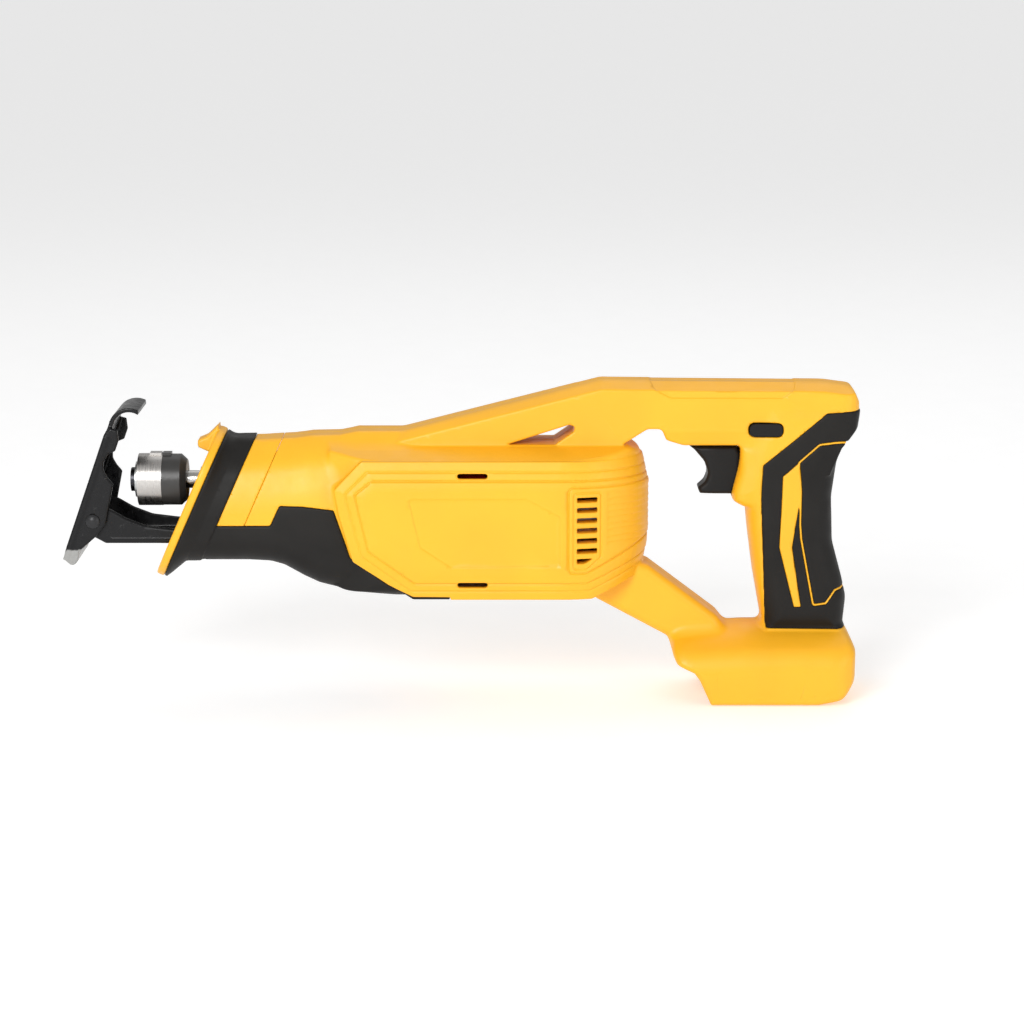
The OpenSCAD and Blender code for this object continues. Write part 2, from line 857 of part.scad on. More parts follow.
module front_casting() {
    color(alloy) difference() {
        union() {
            rod_x(tube_x[0], tube_x[1], tube_r, spindle_z);
            intersection() {
                rod_z(case_split, 123.5, case_r, crank_x);
                box([-260, -60, 60], [case_flat_x, 60, 140]);
            }
            for (p = case_bolts) rod_z(case_split, 111, 4, p[0], p[1]);
            for (x = bracket_bolts) rod_z(bracket_z + bracket_t, 101, 5, x);
        }
        rod_z(case_split - 1, 120.8, 28.4, crank_x);
        rod_x(-289, -268.3, 9.5, spindle_z);
        rod_x(-269, -251.7, 7.4, spindle_z);
        rod_x(-252, -237.4, 9.5, spindle_z);
        rod_x(-238, -219, 8.5, spindle_z);
        box([-260, -60, 60], [-227.7, 60, 84]);
        for (p = case_bolts) rod_z(case_split - 1, 112, 1.7, p[0], p[1]);
        for (x = bracket_bolts) rod_z(bracket_z, 96, 1.6, x);
    }
}

module gear_case_screws() {
    color(dark_steel) for (p = case_bolts) difference() {
        union() {
            rod_z(96.5, 111, 1.45, p[0], p[1]);
            rod_z(111, 113.4, 2.9, p[0], p[1]);
        }
        translate([p[0], p[1], 112]) cylinder(h = 3, r = 1.4, $fn = 6);
    }
}

// ---- plunger ----

rod_r = 6.5;
neck_r = 4.6;
yoke_front_x = -225;
module plunger_rod() {
    color(steel) {
        rod_x(clamp_x[2], -301, neck_r, spindle_z);
        rod_x(-301, yoke_front_x, rod_r, spindle_z);
    }
}

// The yoke's corners are cut back to the round case at both ends of its stroke
module yoke() {
    slot_w = 2 * roller_r + 0.6;
    reach_r = 27.8;
    color(dark_steel) difference() {
        union() {
            box([yoke_front_x, -6, 109.8], [-207, 6, 118.5]);
            intersection() {
                box([-208, -20, 109.8], [-184, 20, 118]);
                rod_z(109, 119, reach_r, crank_x - throw);
                rod_z(109, 119, reach_r, crank_x + throw);
            }
        }
        box([crank_x - slot_w / 2, -17.5, 105], [crank_x + slot_w / 2, 17.5, 125]);
    }
}

module front_bushing() {
    color(bronze) ring_rod_x(-284, -268.3, 9.5, rod_r + run, spindle_z);
}
module rear_bushing() {
    color(bronze) ring_rod_x(-252, -237.6, 9.5, rod_r + run, spindle_z);
}
module plunger_seal() {
    color(black) {
        ring_rod_x(-288, -284, 9.5, rod_r + run, spindle_z);
        ring_rod_x(-290, -288, 12.5, rod_r + run, spindle_z);
    }
}

// ---- blade clamp ----

clamp_x = [-333, -320.5, -308];
core_clamp_r = 7.8;
lock_pin_x = -326;
module clamp_body() {
    color(dark_steel) difference() {
        union() {
            rod_x(-334.6, clamp_x[2], core_clamp_r, spindle_z);
            rod_x(-337, -334.6, 6.2, spindle_z);
        }
        ring_rod_x(-334.6, -333.2, 9, 6.9, spindle_z);
        box([-338, -0.9, spindle_z - 6.5], [-315, 0.9, spindle_z + 6.5]);
        rod_z(spindle_z - 3, spindle_z + 12, 2.05, lock_pin_x);
    }
}
module clamp_retaining_ring() {
    color(steel) difference() {
        ring_rod_x(-334.5, -333.3, 9.2, 6.95, spindle_z);
        box([-336, -2, spindle_z - 12], [-332, 2, spindle_z - 4]);
    }
}
module clamp_sleeve() {
    color(steel) difference() {
        union() {
            rod_x(clamp_x[0], clamp_x[1], clamp_r, spindle_z);
            box([-327, -3.2, spindle_z + clamp_r - 1], [-321, 3.2, spindle_z + clamp_r + 0.8]);
        }
        rod_x(clamp_x[0] - 1, clamp_x[1] + 1, core_clamp_r + run, spindle_z);
        rod_x(lock_pin_x - 3.5, lock_pin_x + 3.5, 11.4, spindle_z);
    }
}
module clamp_collar() {
    color(black) difference() {
        union() {
            rod_x(clamp_x[1], clamp_x[2] - 3, clamp_r - 0.2, spindle_z);
            translate([clamp_x[2] - 3, 0, spindle_z]) rotate([0, 90, 0])
                cylinder(h = 3, r1 = clamp_r - 0.2, r2 = clamp_r - 3);
            box([clamp_x[1], -3.2, spindle_z + clamp_r - 1], [-316, 3.2, spindle_z + clamp_r + 0.8]);
        }
        rod_x(clamp_x[1] - 1, clamp_x[2] + 1, core_clamp_r + run, spindle_z);
        rod_x(clamp_x[1] + 1.5, clamp_x[2] - 3, 11, spindle_z);
    }
}
module clamp_lock_pin() {
    color(steel) rod_z(spindle_z + 1.2, spindle_z + 9, 2, lock_pin_x);
}
module clamp_spring() {
    color(steel) translate([0, 0, spindle_z]) coil(clamp_x[1] + 1.9, clamp_x[2] - 3.4, 9.5, 0.6, 5);
}

// ---- shoe ----

pivot = [-355, 94.6];
sheet = 2.4;
shoe_low = [-371.5, 78];
shoe_top = [-348, 148];
flange_y = shoe_w / 2;
shoe_side = [
    shoe_low, shoe_top, [-346, 148], [-342, 141], [-341, 131], [-344.5, 128.5], [-347.5, 125], [-348, 121],
    [-346.5, 116.5], [-344, 113], [-347.5, 92.7], [-350, 87], [-358, 79.6], [-366.5, 73], [-368.7, 72.6]
];
module shoe_plate() {
    color(black) difference() {
        union() {
            difference() {
                across(shoe_w) polygon(shoe_side);
                across(shoe_w - 2 * sheet) polygon([for (p = shoe_side) p + [sheet + 0.2, 0]]);
                across(shoe_w - 2 * sheet) polygon([[-360, 95], [-349.7, 126], [-320, 150], [-320, 60],
                    [-366, 76]]);
            }
            across(shoe_w) polygon([shoe_top, [-345, 151], [-329, 152.4], [-328.5, 150.1], [-344, 148.6],
                [-346, 146]]);
        }
        blade_slot();
        rod_y(-30, 30, pivot_r + run, pivot[0], pivot[1]);
    }
}
module blade_slot() {
    across(12) polygon([[-380, 86], [-380, 140], [-340, 140], [-340, 86]]);
}

pivot_r = 3;
ear_y = flange_y - sheet - 0.4;
module shoe_rivets() {
    color(dark_steel) for (side = [-1, 1]) {
        inner = ear_y - sheet;
        rod_y(side > 0 ? inner - 1.2 : -flange_y - 0.3, side > 0 ? flange_y + 0.3 : -inner + 1.2, pivot_r, pivot[0],
            pivot[1]);
        rod_y(side > 0 ? flange_y + 0.3 : -flange_y - 1.8, side > 0 ? flange_y + 1.8 : -flange_y - 0.3, 5,
            pivot[0], pivot[1]);
        rod_y(side > 0 ? inner - 1.2 : -inner, side > 0 ? inner : -inner + 1.2, 4.4, pivot[0], pivot[1]);
    }
}

bracket_z = 82.4;
bracket_t = 2.4;
bracket_rear = -250;
bracket_bolts = [-274, -258];
module shoe_bracket() {
    side_shape = [[-352, bracket_z], [bracket_rear, bracket_z], [bracket_rear, 88], [-300, 88], [-318.7, 90.8],
        [-328, 92.6], [-337.6, 96.1], [-352, 100], [-358, 99.5]];
    color([0.14, 0.14, 0.15]) difference() {
        union() {
            difference() {
                union() {
                    across(2 * ear_y) polygon(side_shape);
                    rod_y(-ear_y, ear_y, 7.6, pivot[0], pivot[1]);
                }
                box([-370, -ear_y + bracket_t, bracket_z + bracket_t], [-200, ear_y - bracket_t, 120]);
                box([-370, -ear_y + bracket_t, 70], [-350, ear_y - bracket_t, 120]);
            }
        }
        rod_y(-30, 30, pivot_r, pivot[0], pivot[1]);
        for (x = bracket_bolts) rod_z(80, 90, 1.9, x);
    }
}
module shoe_bracket_screws() {
    color(steel) for (x = bracket_bolts) difference() {
        union() {
            rod_z(bracket_z, 95, 1.55, x);
            rod_z(bracket_z - 2.6, bracket_z, 3.4, x);
        }
        translate([x, 0, bracket_z - 3]) cylinder(h = 1.6, r = 1.6, $fn = 6);
    }
}

left_housing();
right_housing();
nose_band();
guard_ring();
nose_boot();
left_grip();
right_grip();
housing_screws();
battery_rails();
terminal_block();
terminal_blades();
trigger();
lock_button();
switch_module();
battery_lead_red();
battery_lead_black();
motor_lead_red();
motor_lead_black();
led_lens();
led_board();
motor_can();
motor_magnets();
motor_front_plate();
motor_end_cap();
motor_front_bearing();
motor_rear_bearing();
carbon_brushes();
motor_shaft();
armature_core();
armature_windings();
commutator();
cooling_fan();
fan_baffle();
motor_pinion();
gear_case();
front_casting();
gear_case_screws();
crank_gear();
crank_pin();
crank_roller();
crank_axle();
crank_upper_bearing();
crank_lower_bearing();
plunger_rod();
yoke();
front_bushing();
rear_bushing();
plunger_seal();
clamp_body();
clamp_sleeve();
clamp_collar();
clamp_retaining_ring();
clamp_lock_pin();
clamp_spring();
shoe_plate();
shoe_rivets();
shoe_bracket();
shoe_bracket_screws();
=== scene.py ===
"""Looks of a cordless reciprocating saw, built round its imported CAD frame.

The moulded shells, the rubber covers, the trigger and the shoe are shaped as distance fields on a grid of
points, in the frame's millimetres, and turned into meshes. A field is negative inside the solid. The left
half is shaped, and the right half mirrors it. Every other part is the CAD node with a material of its own.
"""

import json
import math

import bpy
import numpy as np
import openvdb
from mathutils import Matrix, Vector


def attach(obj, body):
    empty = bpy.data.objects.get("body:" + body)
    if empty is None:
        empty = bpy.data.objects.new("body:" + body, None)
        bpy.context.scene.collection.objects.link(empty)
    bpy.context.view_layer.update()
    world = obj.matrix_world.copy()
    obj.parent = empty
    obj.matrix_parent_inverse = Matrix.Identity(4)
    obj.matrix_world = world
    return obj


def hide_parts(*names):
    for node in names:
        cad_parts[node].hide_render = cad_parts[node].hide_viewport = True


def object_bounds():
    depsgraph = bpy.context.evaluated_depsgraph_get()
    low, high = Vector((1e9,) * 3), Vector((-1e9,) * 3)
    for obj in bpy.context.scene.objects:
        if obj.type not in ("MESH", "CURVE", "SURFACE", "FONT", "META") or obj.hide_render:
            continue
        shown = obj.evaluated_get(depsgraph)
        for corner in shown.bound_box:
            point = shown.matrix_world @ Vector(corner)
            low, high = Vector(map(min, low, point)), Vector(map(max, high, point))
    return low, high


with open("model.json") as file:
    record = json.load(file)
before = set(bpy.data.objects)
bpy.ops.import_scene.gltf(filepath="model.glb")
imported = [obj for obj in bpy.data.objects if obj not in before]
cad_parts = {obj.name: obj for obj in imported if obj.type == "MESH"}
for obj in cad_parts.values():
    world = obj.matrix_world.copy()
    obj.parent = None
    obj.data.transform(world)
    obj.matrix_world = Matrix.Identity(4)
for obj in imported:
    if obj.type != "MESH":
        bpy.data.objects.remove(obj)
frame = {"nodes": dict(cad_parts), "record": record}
cad_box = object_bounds()

MM = 0.001
FINE = 0.5  # grid step of the large shells
SMALL = 0.3  # grid step of the small parts
TRIANGLES = 190000  # most triangles in a piece

# ---- sizes shared with the CAD frame, in millimetres ----

SPINDLE_Z = 113
SLANT = math.radians(24)
BAND_X, SHELL_X = -282.3, -268.2  # slanted planes, where they meet the spindle axis
WALL = 3
RUBBER = 1.8
BODY_HALF = 37
SCREWS = [(-182, 64.5), (-190, 131), (-100, 64), (-97, 127.5), (-76, 155.5), (26, 151), (20, 58), (-66, 47)]


# ---- distance fields ----

class Block:
    """A box of grid points. x, y and z broadcast together, and across is how far each is from the joint."""

    def __init__(self, low, high, step):
        self.low = np.array(low, float)
        self.step = step
        self.count = np.ceil((np.array(high, float) - self.low) / step).astype(int) + 1
        lines = [(a + step * np.arange(n)).astype(np.float32) for a, n in zip(self.low, self.count)]
        self.x = lines[0][:, None, None]
        self.y = lines[1][None, :, None]
        self.z = lines[2][None, None, :]
        self.across = np.abs(self.y)


def corners(points):
    """An outline from (u, v) or (u, v, radius) corners, with its round corners as curves."""
    outline = []
    for i, corner in enumerate(points):
        here = np.array(corner[:2], float)
        radius = corner[2] if len(corner) > 2 else 0
        if radius == 0:
            outline.append(here)
            continue
        back = np.array(points[i - 1][:2], float) - here
        ahead = np.array(points[(i + 1) % len(points)][:2], float) - here
        back_len, ahead_len = np.linalg.norm(back), np.linalg.norm(ahead)
        angle = math.acos(np.clip(back @ ahead / back_len / ahead_len, -1, 1))
        reach = min(radius / math.tan(angle / 2), 0.48 * back_len, 0.48 * ahead_len)
        start = here + back / back_len * reach
        end = here + ahead / ahead_len * reach
        for t in np.linspace(0, 1, 7):
            outline.append((1 - t) ** 2 * start + 2 * t * (1 - t) * here + t ** 2 * end)
    return outline


def flat(points, u, v):
    """Signed distance from (u, v) to a closed outline."""
    outline = corners(points)
    inside = np.zeros(np.broadcast(u, v).shape, bool)
    nearest = np.full(inside.shape, 1e9, np.float32)
    for (u0, v0), (u1, v1) in zip(outline, outline[1:] + outline[:1]):
        du, dv = u1 - u0, v1 - v0
        length2 = du * du + dv * dv
        if length2 < 1e-12:
            continue
        t = np.clip(((u - u0) * du + (v - v0) * dv) / length2, 0, 1)
        nearest = np.minimum(nearest, (u - u0 - t * du) ** 2 + (v - v0 - t * dv) ** 2)
        if dv != 0:
            crosses = (v0 > v) != (v1 > v)
            inside ^= crosses & (u < du * (v - v0) / dv + u0)
    nearest = np.sqrt(nearest).astype(np.float32)
    return np.where(inside, -nearest, nearest)


def both(a, b, r=0):
    """Where a and b overlap, with their outer edge rounded to r."""
    if r == 0:
        return np.maximum(a, b)
    return np.minimum(np.maximum(a, b), -r) + np.hypot(np.maximum(a + r, 0), np.maximum(b + r, 0))


def either(a, b, r=0):
    """a and b together, with their inner corner filled to r."""
    return -both(-a, -b, r)


def without(a, b, r=0):
    """a with b cut away."""
    return both(a, -b, r)


def facet(u, v, start, end, side=1):
    """Distance past the line from start to end, positive on its right for side 1 and on its left for -1."""
    du, dv = end[0] - start[0], end[1] - start[1]
    return side * ((u - start[0]) * dv - (v - start[1]) * du) / math.hypot(du, dv)


def rod(b, x, z, r):
    """A rod along Y."""
    return np.hypot(b.x - x, b.z - z) - r


def slab(value, low, high):
    """Between two values."""
    return np.maximum(low - value, value - high)


def box(b, low, high):
    return both(both(slab(b.x, low[0], high[0]), slab(b.y, low[1], high[1])), slab(b.z, low[2], high[2]))


def ahead_of(b, x):
    """Distance behind a slanted plane that meets the spindle axis at x: negative ahead of it."""
    return (b.x - x) * math.cos(SLANT) - (b.z - SPINDLE_Z) * math.sin(SLANT)


def profile(x, places):
    """A smooth height along x through a list of (x, height)."""
    return np.interp(x, [p[0] for p in places], [p[1] for p in places]).astype(np.float32)


# ---- meshes ----

def sample(field, low, step, points):
    """The field's value at points, between the grid's own points."""
    at = (points - low) / step
    base = np.clip(np.floor(at).astype(int), 0, np.array(field.shape) - 2)
    part = at - base
    total = np.zeros(len(points))
    for dx in (0, 1):
        for dy in (0, 1):
            for dz in (0, 1):
                share = np.abs(1 - np.array((dx, dy, dz)) - part)
                weight = share[:, 0] * share[:, 1] * share[:, 2]
                total += weight * field[base[:, 0] + dx, base[:, 1] + dy, base[:, 2] + dz]
    return total


def gradient(field, low, step, points):
    reach = step * 0.7
    slope = np.zeros_like(points)
    for axis in range(3):
        move = np.zeros(3)
        move[axis] = reach
        slope[:, axis] = sample(field, low, step, points + move) - sample(field, low, step, points - move)
    return slope / np.maximum(np.linalg.norm(slope, axis=1), 1e-9)[:, None]


def new_mesh(name, points, faces):
    mesh = bpy.data.meshes.new(name)
    mesh.from_pydata(points.tolist(), [], faces)
    mesh.update()
    piece = bpy.data.objects.new(name, mesh)
    bpy.context.scene.collection.objects.link(piece)
    return piece


def shape(name, block, field, mirror=False, detail=0.03):
    """The surface of a field as a piece, in metres, with the field's own slope as its normals."""
    field = np.ascontiguousarray(np.broadcast_to(field, tuple(block.count)), np.float32)
    field = np.clip(field, -3 * block.step, 3 * block.step)
    for axis in range(3):
        ends = [slice(None)] * 3
        for end in (0, -1):
            ends[axis] = end
            field[tuple(ends)] = np.maximum(field[tuple(ends)], block.step * 0.5)
    grid = openvdb.FloatGrid(background=3 * block.step)
    grid.copyFromArray(field)
    points, triangles, quads = grid.convertToPolygons(isovalue=0.0, adaptivity=detail)
    points = points * block.step + block.low
    faces = triangles.tolist() + quads.tolist()
    piece = new_mesh(name, points, faces)
    count = len(triangles) + 2 * len(quads)
    if count > TRIANGLES:
        reduce = piece.modifiers.new("reduce", "DECIMATE")
        reduce.ratio = TRIANGLES / count
        made = bpy.data.meshes.new_from_object(piece.evaluated_get(bpy.context.evaluated_depsgraph_get()))
        piece.modifiers.clear()
        piece.data = made
        made.name = name
    mesh = piece.data
    co = np.zeros(len(mesh.vertices) * 3, np.float32)
    mesh.vertices.foreach_get("co", co)
    co = co.reshape(-1, 3).astype(float)
    normals = gradient(field, block.low, block.step, co)
    co *= MM
    if mirror:
        co[:, 1] *= -1
        normals[:, 1] *= -1
        mesh.flip_normals()
    mesh.vertices.foreach_set("co", co.astype(np.float32).ravel())
    mesh.update()
    mesh.shade_smooth()
    mesh.normals_split_custom_set_from_vertices(normals.tolist())
    return piece


# ---- the outside of the housing ----

NOSE_HALF = 28
NOSE_TOP = [(-330, 134.6), (-273, 135.3), (-252, 136.4), (-243, 137.6), (-228, 138), (-219, 139.9),
            (-197, 139.9), (-178, 133.2)]
NOSE_LOW = [(-330, 74.2), (-275, 74.2), (-264, 73.6), (-257, 71.6), (-247, 66), (-239, 62.2), (-229, 59.7),
            (-215, 58.2), (-200, 57)]

BODY_SIDE = [(-234, 62), (-234, 134), (-150, 134.4), (-83, 134.4, 3), (-74.5, 130.4, 5), (-70, 122, 6),
             (-69.5, 69.5, 2), (-99.5, 56.3, 2), (-200, 56.6, 6), (-226, 59.6, 6)]
PANEL_FRONT = -300
REAR_ROUND = (-115, 45.5)  # where the rear half ellipse starts, and its length

# Plates on the side of the body, each an outline, how far out it stands, and its bevel's width and depth
PLATES = [
    ([(-230.4, 113.3, 2), (-216.5, 128, 2), (-40, 128), (-40, 81.2), (-99, 56.3, 2), (-190.5, 56.3, 2),
      (-221.1, 75.9, 2), (-228.3, 100.9, 3)], 35.2, 4.6, 1.3),
    ([(-225, 111.4, 2), (-213.2, 123, 2), (-40, 123), (-40, 86.4), (-100.2, 61, 2), (-191.6, 61, 2),
      (-216.9, 79.2, 2)], 36.1, 4.2, 1.0),
    ([(-220, 111.2, 2), (-211.2, 118.2, 2), (-40, 118.2), (-40, 90.6), (-101.2, 65.1, 2), (-189.4, 65.1, 2),
      (-213.4, 82, 2)], 36.9, 3.4, 0.7),
]
VENT_BAND = [(-111, 114.7, 3), (-40, 114.7), (-40, 101.6), (-80, 81.5, 1), (-101.8, 70.8, 2), (-111, 70.8, 3)]
VENT_BAND_OUT = 37.5
VENT_FRAME = [(-108.6, 112.2, 2), (-94.6, 112.2, 2), (-94.6, 78.6, 1), (-101.6, 72.6, 1), (-108.6, 72.6, 2)]
VENT_WINDOW = [(-106.9, 110.6), (-96.5, 110.6), (-96.5, 79.4), (-103.6, 75.2), (-106.9, 75.2)]
VENT_SLOTS = 7
VENT_TOP = 108.6
VENT_PITCH = 5.28
VENT_HEIGHT = 2.5
FAN_SLOTS = [(-160, 120.7), (-160, 64.3)]
FAN_SLOT = (15.4, 2.6)
INSET = [(-192.8, 109.3, 2), (-187, 83.9, 2), (-171, 73.4, 2), (-115.3, 74.5, 1), (-115.3, 100.2, 2),
         (-132, 109.3, 2)]
RIB_PITCH = 3.2
RIB_REACH = (83, 112)
RIB_START = -91.5

BRIDGE = [(-205, 128), (-196, 139.9), (-94.3, 166.2, 3), (-71.5, 166), (19.7, 165.2, 12), (34.4, 163.2, 5),
          (38.6, 154.5, 2), (38.3, 149.5), (36.5, 141), (29, 132), (23, 118), (-19, 118), (-21, 132.8, 4),
          (-52, 132.8, 8), (-60.8, 135.6, 3), (-63.2, 141.6, 3), (-70.5, 141.6, 3), (-82.5, 134), (-86, 128)]
BRIDGE_HALF = 16
ROOF = [(-200, 10), (-110, 8), (-90, 6), (60, 6)]  # half width of the flat along the top
ROOF_DROP = 4
BRIDGE_TOP = [(-205, 137.4), (-196, 139.9), (-94.3, 166.2), (19.7, 165.2), (38, 163)]
SADDLE = [(-72.5, 172), (-67.3, 162.4, 1), (-59.1, 158, 1), (-1.5, 157.8, 1), (4.4, 162, 1), (7.5, 172)]
LOW_BAR_Z = 140.6
LOW_BAR_TAPER = 0.36
COLLAR = [(-22.2, 132), (-22.2, 119, 8), (-25.2, 108.4, 3), (-24.8, 103.8, 1.5), (-20, 101.2), (-8, 101),
          (-8, 132)]
COLLAR_HALF = 14.6

HANDLE = [(-24, 118), (-26.4, 107), (-24.6, 103.6, 1), (-22.2, 102), (-18.6, 100.6, 3), (-17.4, 88, 20),
          (-14.4, 66, 30), (-10, 42), (-9.4, 34), (31, 34), (32, 42), (33, 52.5, 12), (30.6, 63, 12),
          (25.4, 82, 20), (24.6, 106, 25), (27, 124, 12), (31.5, 136, 3), (34, 139.6, 2), (37.4, 141.4, 2),
          (38.3, 150), (30, 156), (-10, 156), (-20, 130)]
HANDLE_HALF = 17

STRUT = [(-104, 58), (-96, 52), (-57.8, 31.4), (-40, 22), (-30.5, 30, 4), (-31.8, 41.6, 7), (-69.2, 69.8),
         (-90, 78)]
STRUT_HALF = 14

FOOT = [(-58.6, 33, 4), (-58.2, 26.5, 4), (-54.6, 20.6, 4), (-46, 16.8, 3), (-43.2, 13, 3), (-37.3, 0),
        (18, 0, 6), (31, 2.4, 8), (38.2, 12, 8), (38.6, 27, 6), (35, 33, 8), (29, 44), (-30, 44),
        (-50, 39, 6)]
FOOT_HALF = 33
FOOT_MID = -9.6
FOOT_LENGTH = 97


def rear_ellipse(half):
    """The body seen from above, as an outline in x and out: half an ellipse closes its rear."""
    start, length = REAR_ROUND
    reach = length - (BODY_HALF - half)
    curve = [(start + reach * math.cos(math.radians(a)), half * math.sin(math.radians(a)))
             for a in range(90, -91, -6)]
    return [(PANEL_FRONT, -half), (PANEL_FRONT, half)] + curve


def nose(b):
    top = b.z - profile(b.x, NOSE_TOP)
    low = profile(b.x, NOSE_LOW) - b.z
    solid = both(b.across - NOSE_HALF, facet(b.across, top, (28, -20), (19, -5.5)), 9)
    solid = both(solid, facet(b.across, top, (19, -5.5), (10, 0)), 7)
    solid = both(solid, top, 0.8)
    return both(solid, low, 13)


def plate(b, plan, outline, half, bevel, depth):
    """A raised plate that follows the body's plan, with a bevel along its edge."""
    edge = flat(outline, b.x, b.z)
    face = plan + (BODY_HALF - half)
    slope = depth / bevel
    slant = (face + slope * (edge + bevel)) / math.hypot(1, slope)
    return both(both(edge, face), slant, 0.3), edge


def body(b):
    plan = flat(rear_ellipse(BODY_HALF), b.x, b.y)
    side = flat(BODY_SIDE, b.x, b.z)
    face = plan + 3.4
    front = facet(b.x, b.across, (-237, 20), (-212, 34.2), -1)
    solid = both(side, both(face, front, 6), 1.5)
    solid = both(solid, facet(b.across, b.z, (34, 127.6), (15, 133.6)), 2)
    solid = both(solid, facet(b.across, b.z, (24, 54.6), (34, 62)), 3)
    for outline, half, bevel, depth in PLATES:
        raised, edge = plate(b, plan, outline, half, bevel, depth)
        solid = np.minimum(solid, raised)
        if half > PLATES[0][1]:
            groove = both(np.abs(edge) - 0.32, -(plan + (BODY_HALF - half) + 1.45))
            solid = without(solid, groove)
    band, edge = plate(b, plan, VENT_BAND, VENT_BAND_OUT, 0.8, 0.35)
    solid = without(solid, both(np.abs(edge - 0.35) - 0.4, -(plan + 0.75)))
    band = np.maximum(band, shingles(b, plan))
    solid = np.minimum(solid, band)
    panel = flat(INSET, b.x, b.z)
    solid = without(solid, both(both(panel, -(plan + 0.62), 0), -(plan + 0.62 - 0.9 * (panel + 0.5))))
    return solid, plan


def shingles(b, plan):
    """Fine ribs that wrap round the rear, each leaning out towards its foot."""
    step = np.mod(b.z - RIB_REACH[0], RIB_PITCH) / RIB_PITCH
    lean = 0.45 * step
    fade = np.clip((b.x - RIB_START) / 1.2, 0, 1) * np.clip((b.z - RIB_REACH[0]) / 0.8, 0, 1) \
        * np.clip((RIB_REACH[1] - b.z) / 0.8, 0, 1)
    return plan - 0.5 + lean * fade


def bridge(b):
    side = flat(BRIDGE, b.x, b.z)
    roof = b.z - profile(b.x, BRIDGE_TOP)
    half = profile(b.x, ROOF)
    slope = ROOF_DROP / (BRIDGE_HALF - half)
    slant = (roof + slope * (b.across - half)) / np.hypot(1, slope)
    flank = b.across - BRIDGE_HALF - 0.8 * np.clip((b.x - 5) / 30, 0, 1)
    bar = np.clip((-14 - b.x) / 10, 0, 1) * np.clip((b.x + 68) / 6, 0, 1)
    flank = (flank + LOW_BAR_TAPER * bar * np.maximum(LOW_BAR_Z - b.z, 0)) / 1.04
    rear = flat([(-300, -17), (-300, 17), (39, 17, 12), (39, -17, 12)], b.x, b.y)
    solid = both(both(flank, slant, 0.8), side, 1.2)
    solid = both(solid, rear, 0.8)
    saddle = flat(SADDLE, b.x, b.z)
    inner = np.maximum(np.maximum(flank, slant), side) + 0.55
    return without(solid, both(saddle, -inner))


def handle(b):
    side = flat(HANDLE, b.x, b.z)
    collar = both(flat(COLLAR, b.x, b.z), b.across - COLLAR_HALF, 3.5)
    return either(both(side, b.across - HANDLE_HALF, 12), collar, 3)


def strut(b):
    return both(flat(STRUT, b.x, b.z), b.across - STRUT_HALF, 4.5)


def foot(b):
    side = flat(FOOT, b.x, b.z)
    half_len = FOOT_LENGTH / 2
    low, high = FOOT_MID - half_len, FOOT_MID + half_len
    plan = flat([(low, -FOOT_HALF, 11), (low, FOOT_HALF, 11), (high, FOOT_HALF, 15), (high, -FOOT_HALF, 15)],
                b.x, b.y)
    dome = b.z - (38.5 - 13.2 * (b.across / FOOT_HALF) ** 2) - 0.06 * np.minimum(b.x + 20, 0)
    solid = both(plan, dome / 1.15, 6)
    return both(solid, side, 3)


GRIP_AREA = [(46, 151.6), (38.4, 151.1), (21.2, 150, 1), (4.6, 135.9), (-11.2, 123, 1.5), (-11.9, 106),
             (-8.6, 39.6), (-8, 37), (46, 36.4)]
STRIP = [(-0.9, 117.2), (7.4, 124.7), (8.8, 109.6), (6.9, 97.2), (4.4, 80.2), (9.4, 48.9), (5.8, 48.9),
         (-2.2, 80.2), (-1.4, 99.9)]
PALM = [(46, 134.6), (27.4, 134.4), (17.9, 133.4, 0.6), (7.7, 124.3, 0.6), (9, 110), (8.9, 92), (9.5, 84.9),
        (16.2, 50.4, 0.6), (21.9, 51.3, 0.6), (26.6, 57.8, 0.6), (46, 61.6)]
LINE = 1.05  # width of the thin yellow lines


def grip_rubber(b):
    """Area of the rubber, with the yellow lines and the wide strip left open."""
    area = flat(GRIP_AREA, b.x, b.z)
    palm = flat(PALM, b.x, b.z)
    open_lines = slab(palm, 0, LINE)
    lead = flat([(-0.9, 116.2), (7.6, 123.6), (8.2, 124.9), (-0.9, 117.4)], b.x, b.z)
    cut = np.minimum(np.minimum(open_lines, flat(STRIP, b.x, b.z)), lead)
    return without(area, cut)


def outside(b):
    """The whole outer shape of the saw's casing."""
    solid, plan = body(b)
    solid = either(solid, both(nose(b), b.x + 176), 3)
    grip = handle(b)
    head = bridge(b)
    top = either(grip, head, 2.5)
    low = either(strut(b), foot(b), 5)
    low = either(low, grip, 4)
    arm = either(solid, top, 1.0)
    return either(arm, low, 1.2), plan


BELLY = [(-340, 93.6), (-263.4, 93.6, 1.5), (-258.6, 104, 1), (-247, 103.6, 6), (-231, 101.6, 1),
         (-222.6, 77, 1), (-203, 63.9), (-190.4, 57.9), (-171.5, 57.7), (-171.5, 40), (-340, 40)]
GAP = [(-142.5, 133.7), (-118, 133.7, 0.6), (-108.3, 140.4, 1.4), (-107.9, 143, 0.8), (-110.5, 144)]
TRIGGER_OPENING = ((-34, -8.4, 105.8), (-14, 8.4, 131.9))
BUTTON = (-9.9, 141.4)
BUTTON_SLOT = (17.8, 7.4, 3)


def round_slot(x, z, middle, size, r):
    u, v = np.abs(x - middle[0]) - size[0] / 2 + r, np.abs(z - middle[1]) - size[1] / 2 + r
    return np.hypot(np.maximum(u, 0), np.maximum(v, 0)) + np.minimum(np.maximum(u, v), 0) - r


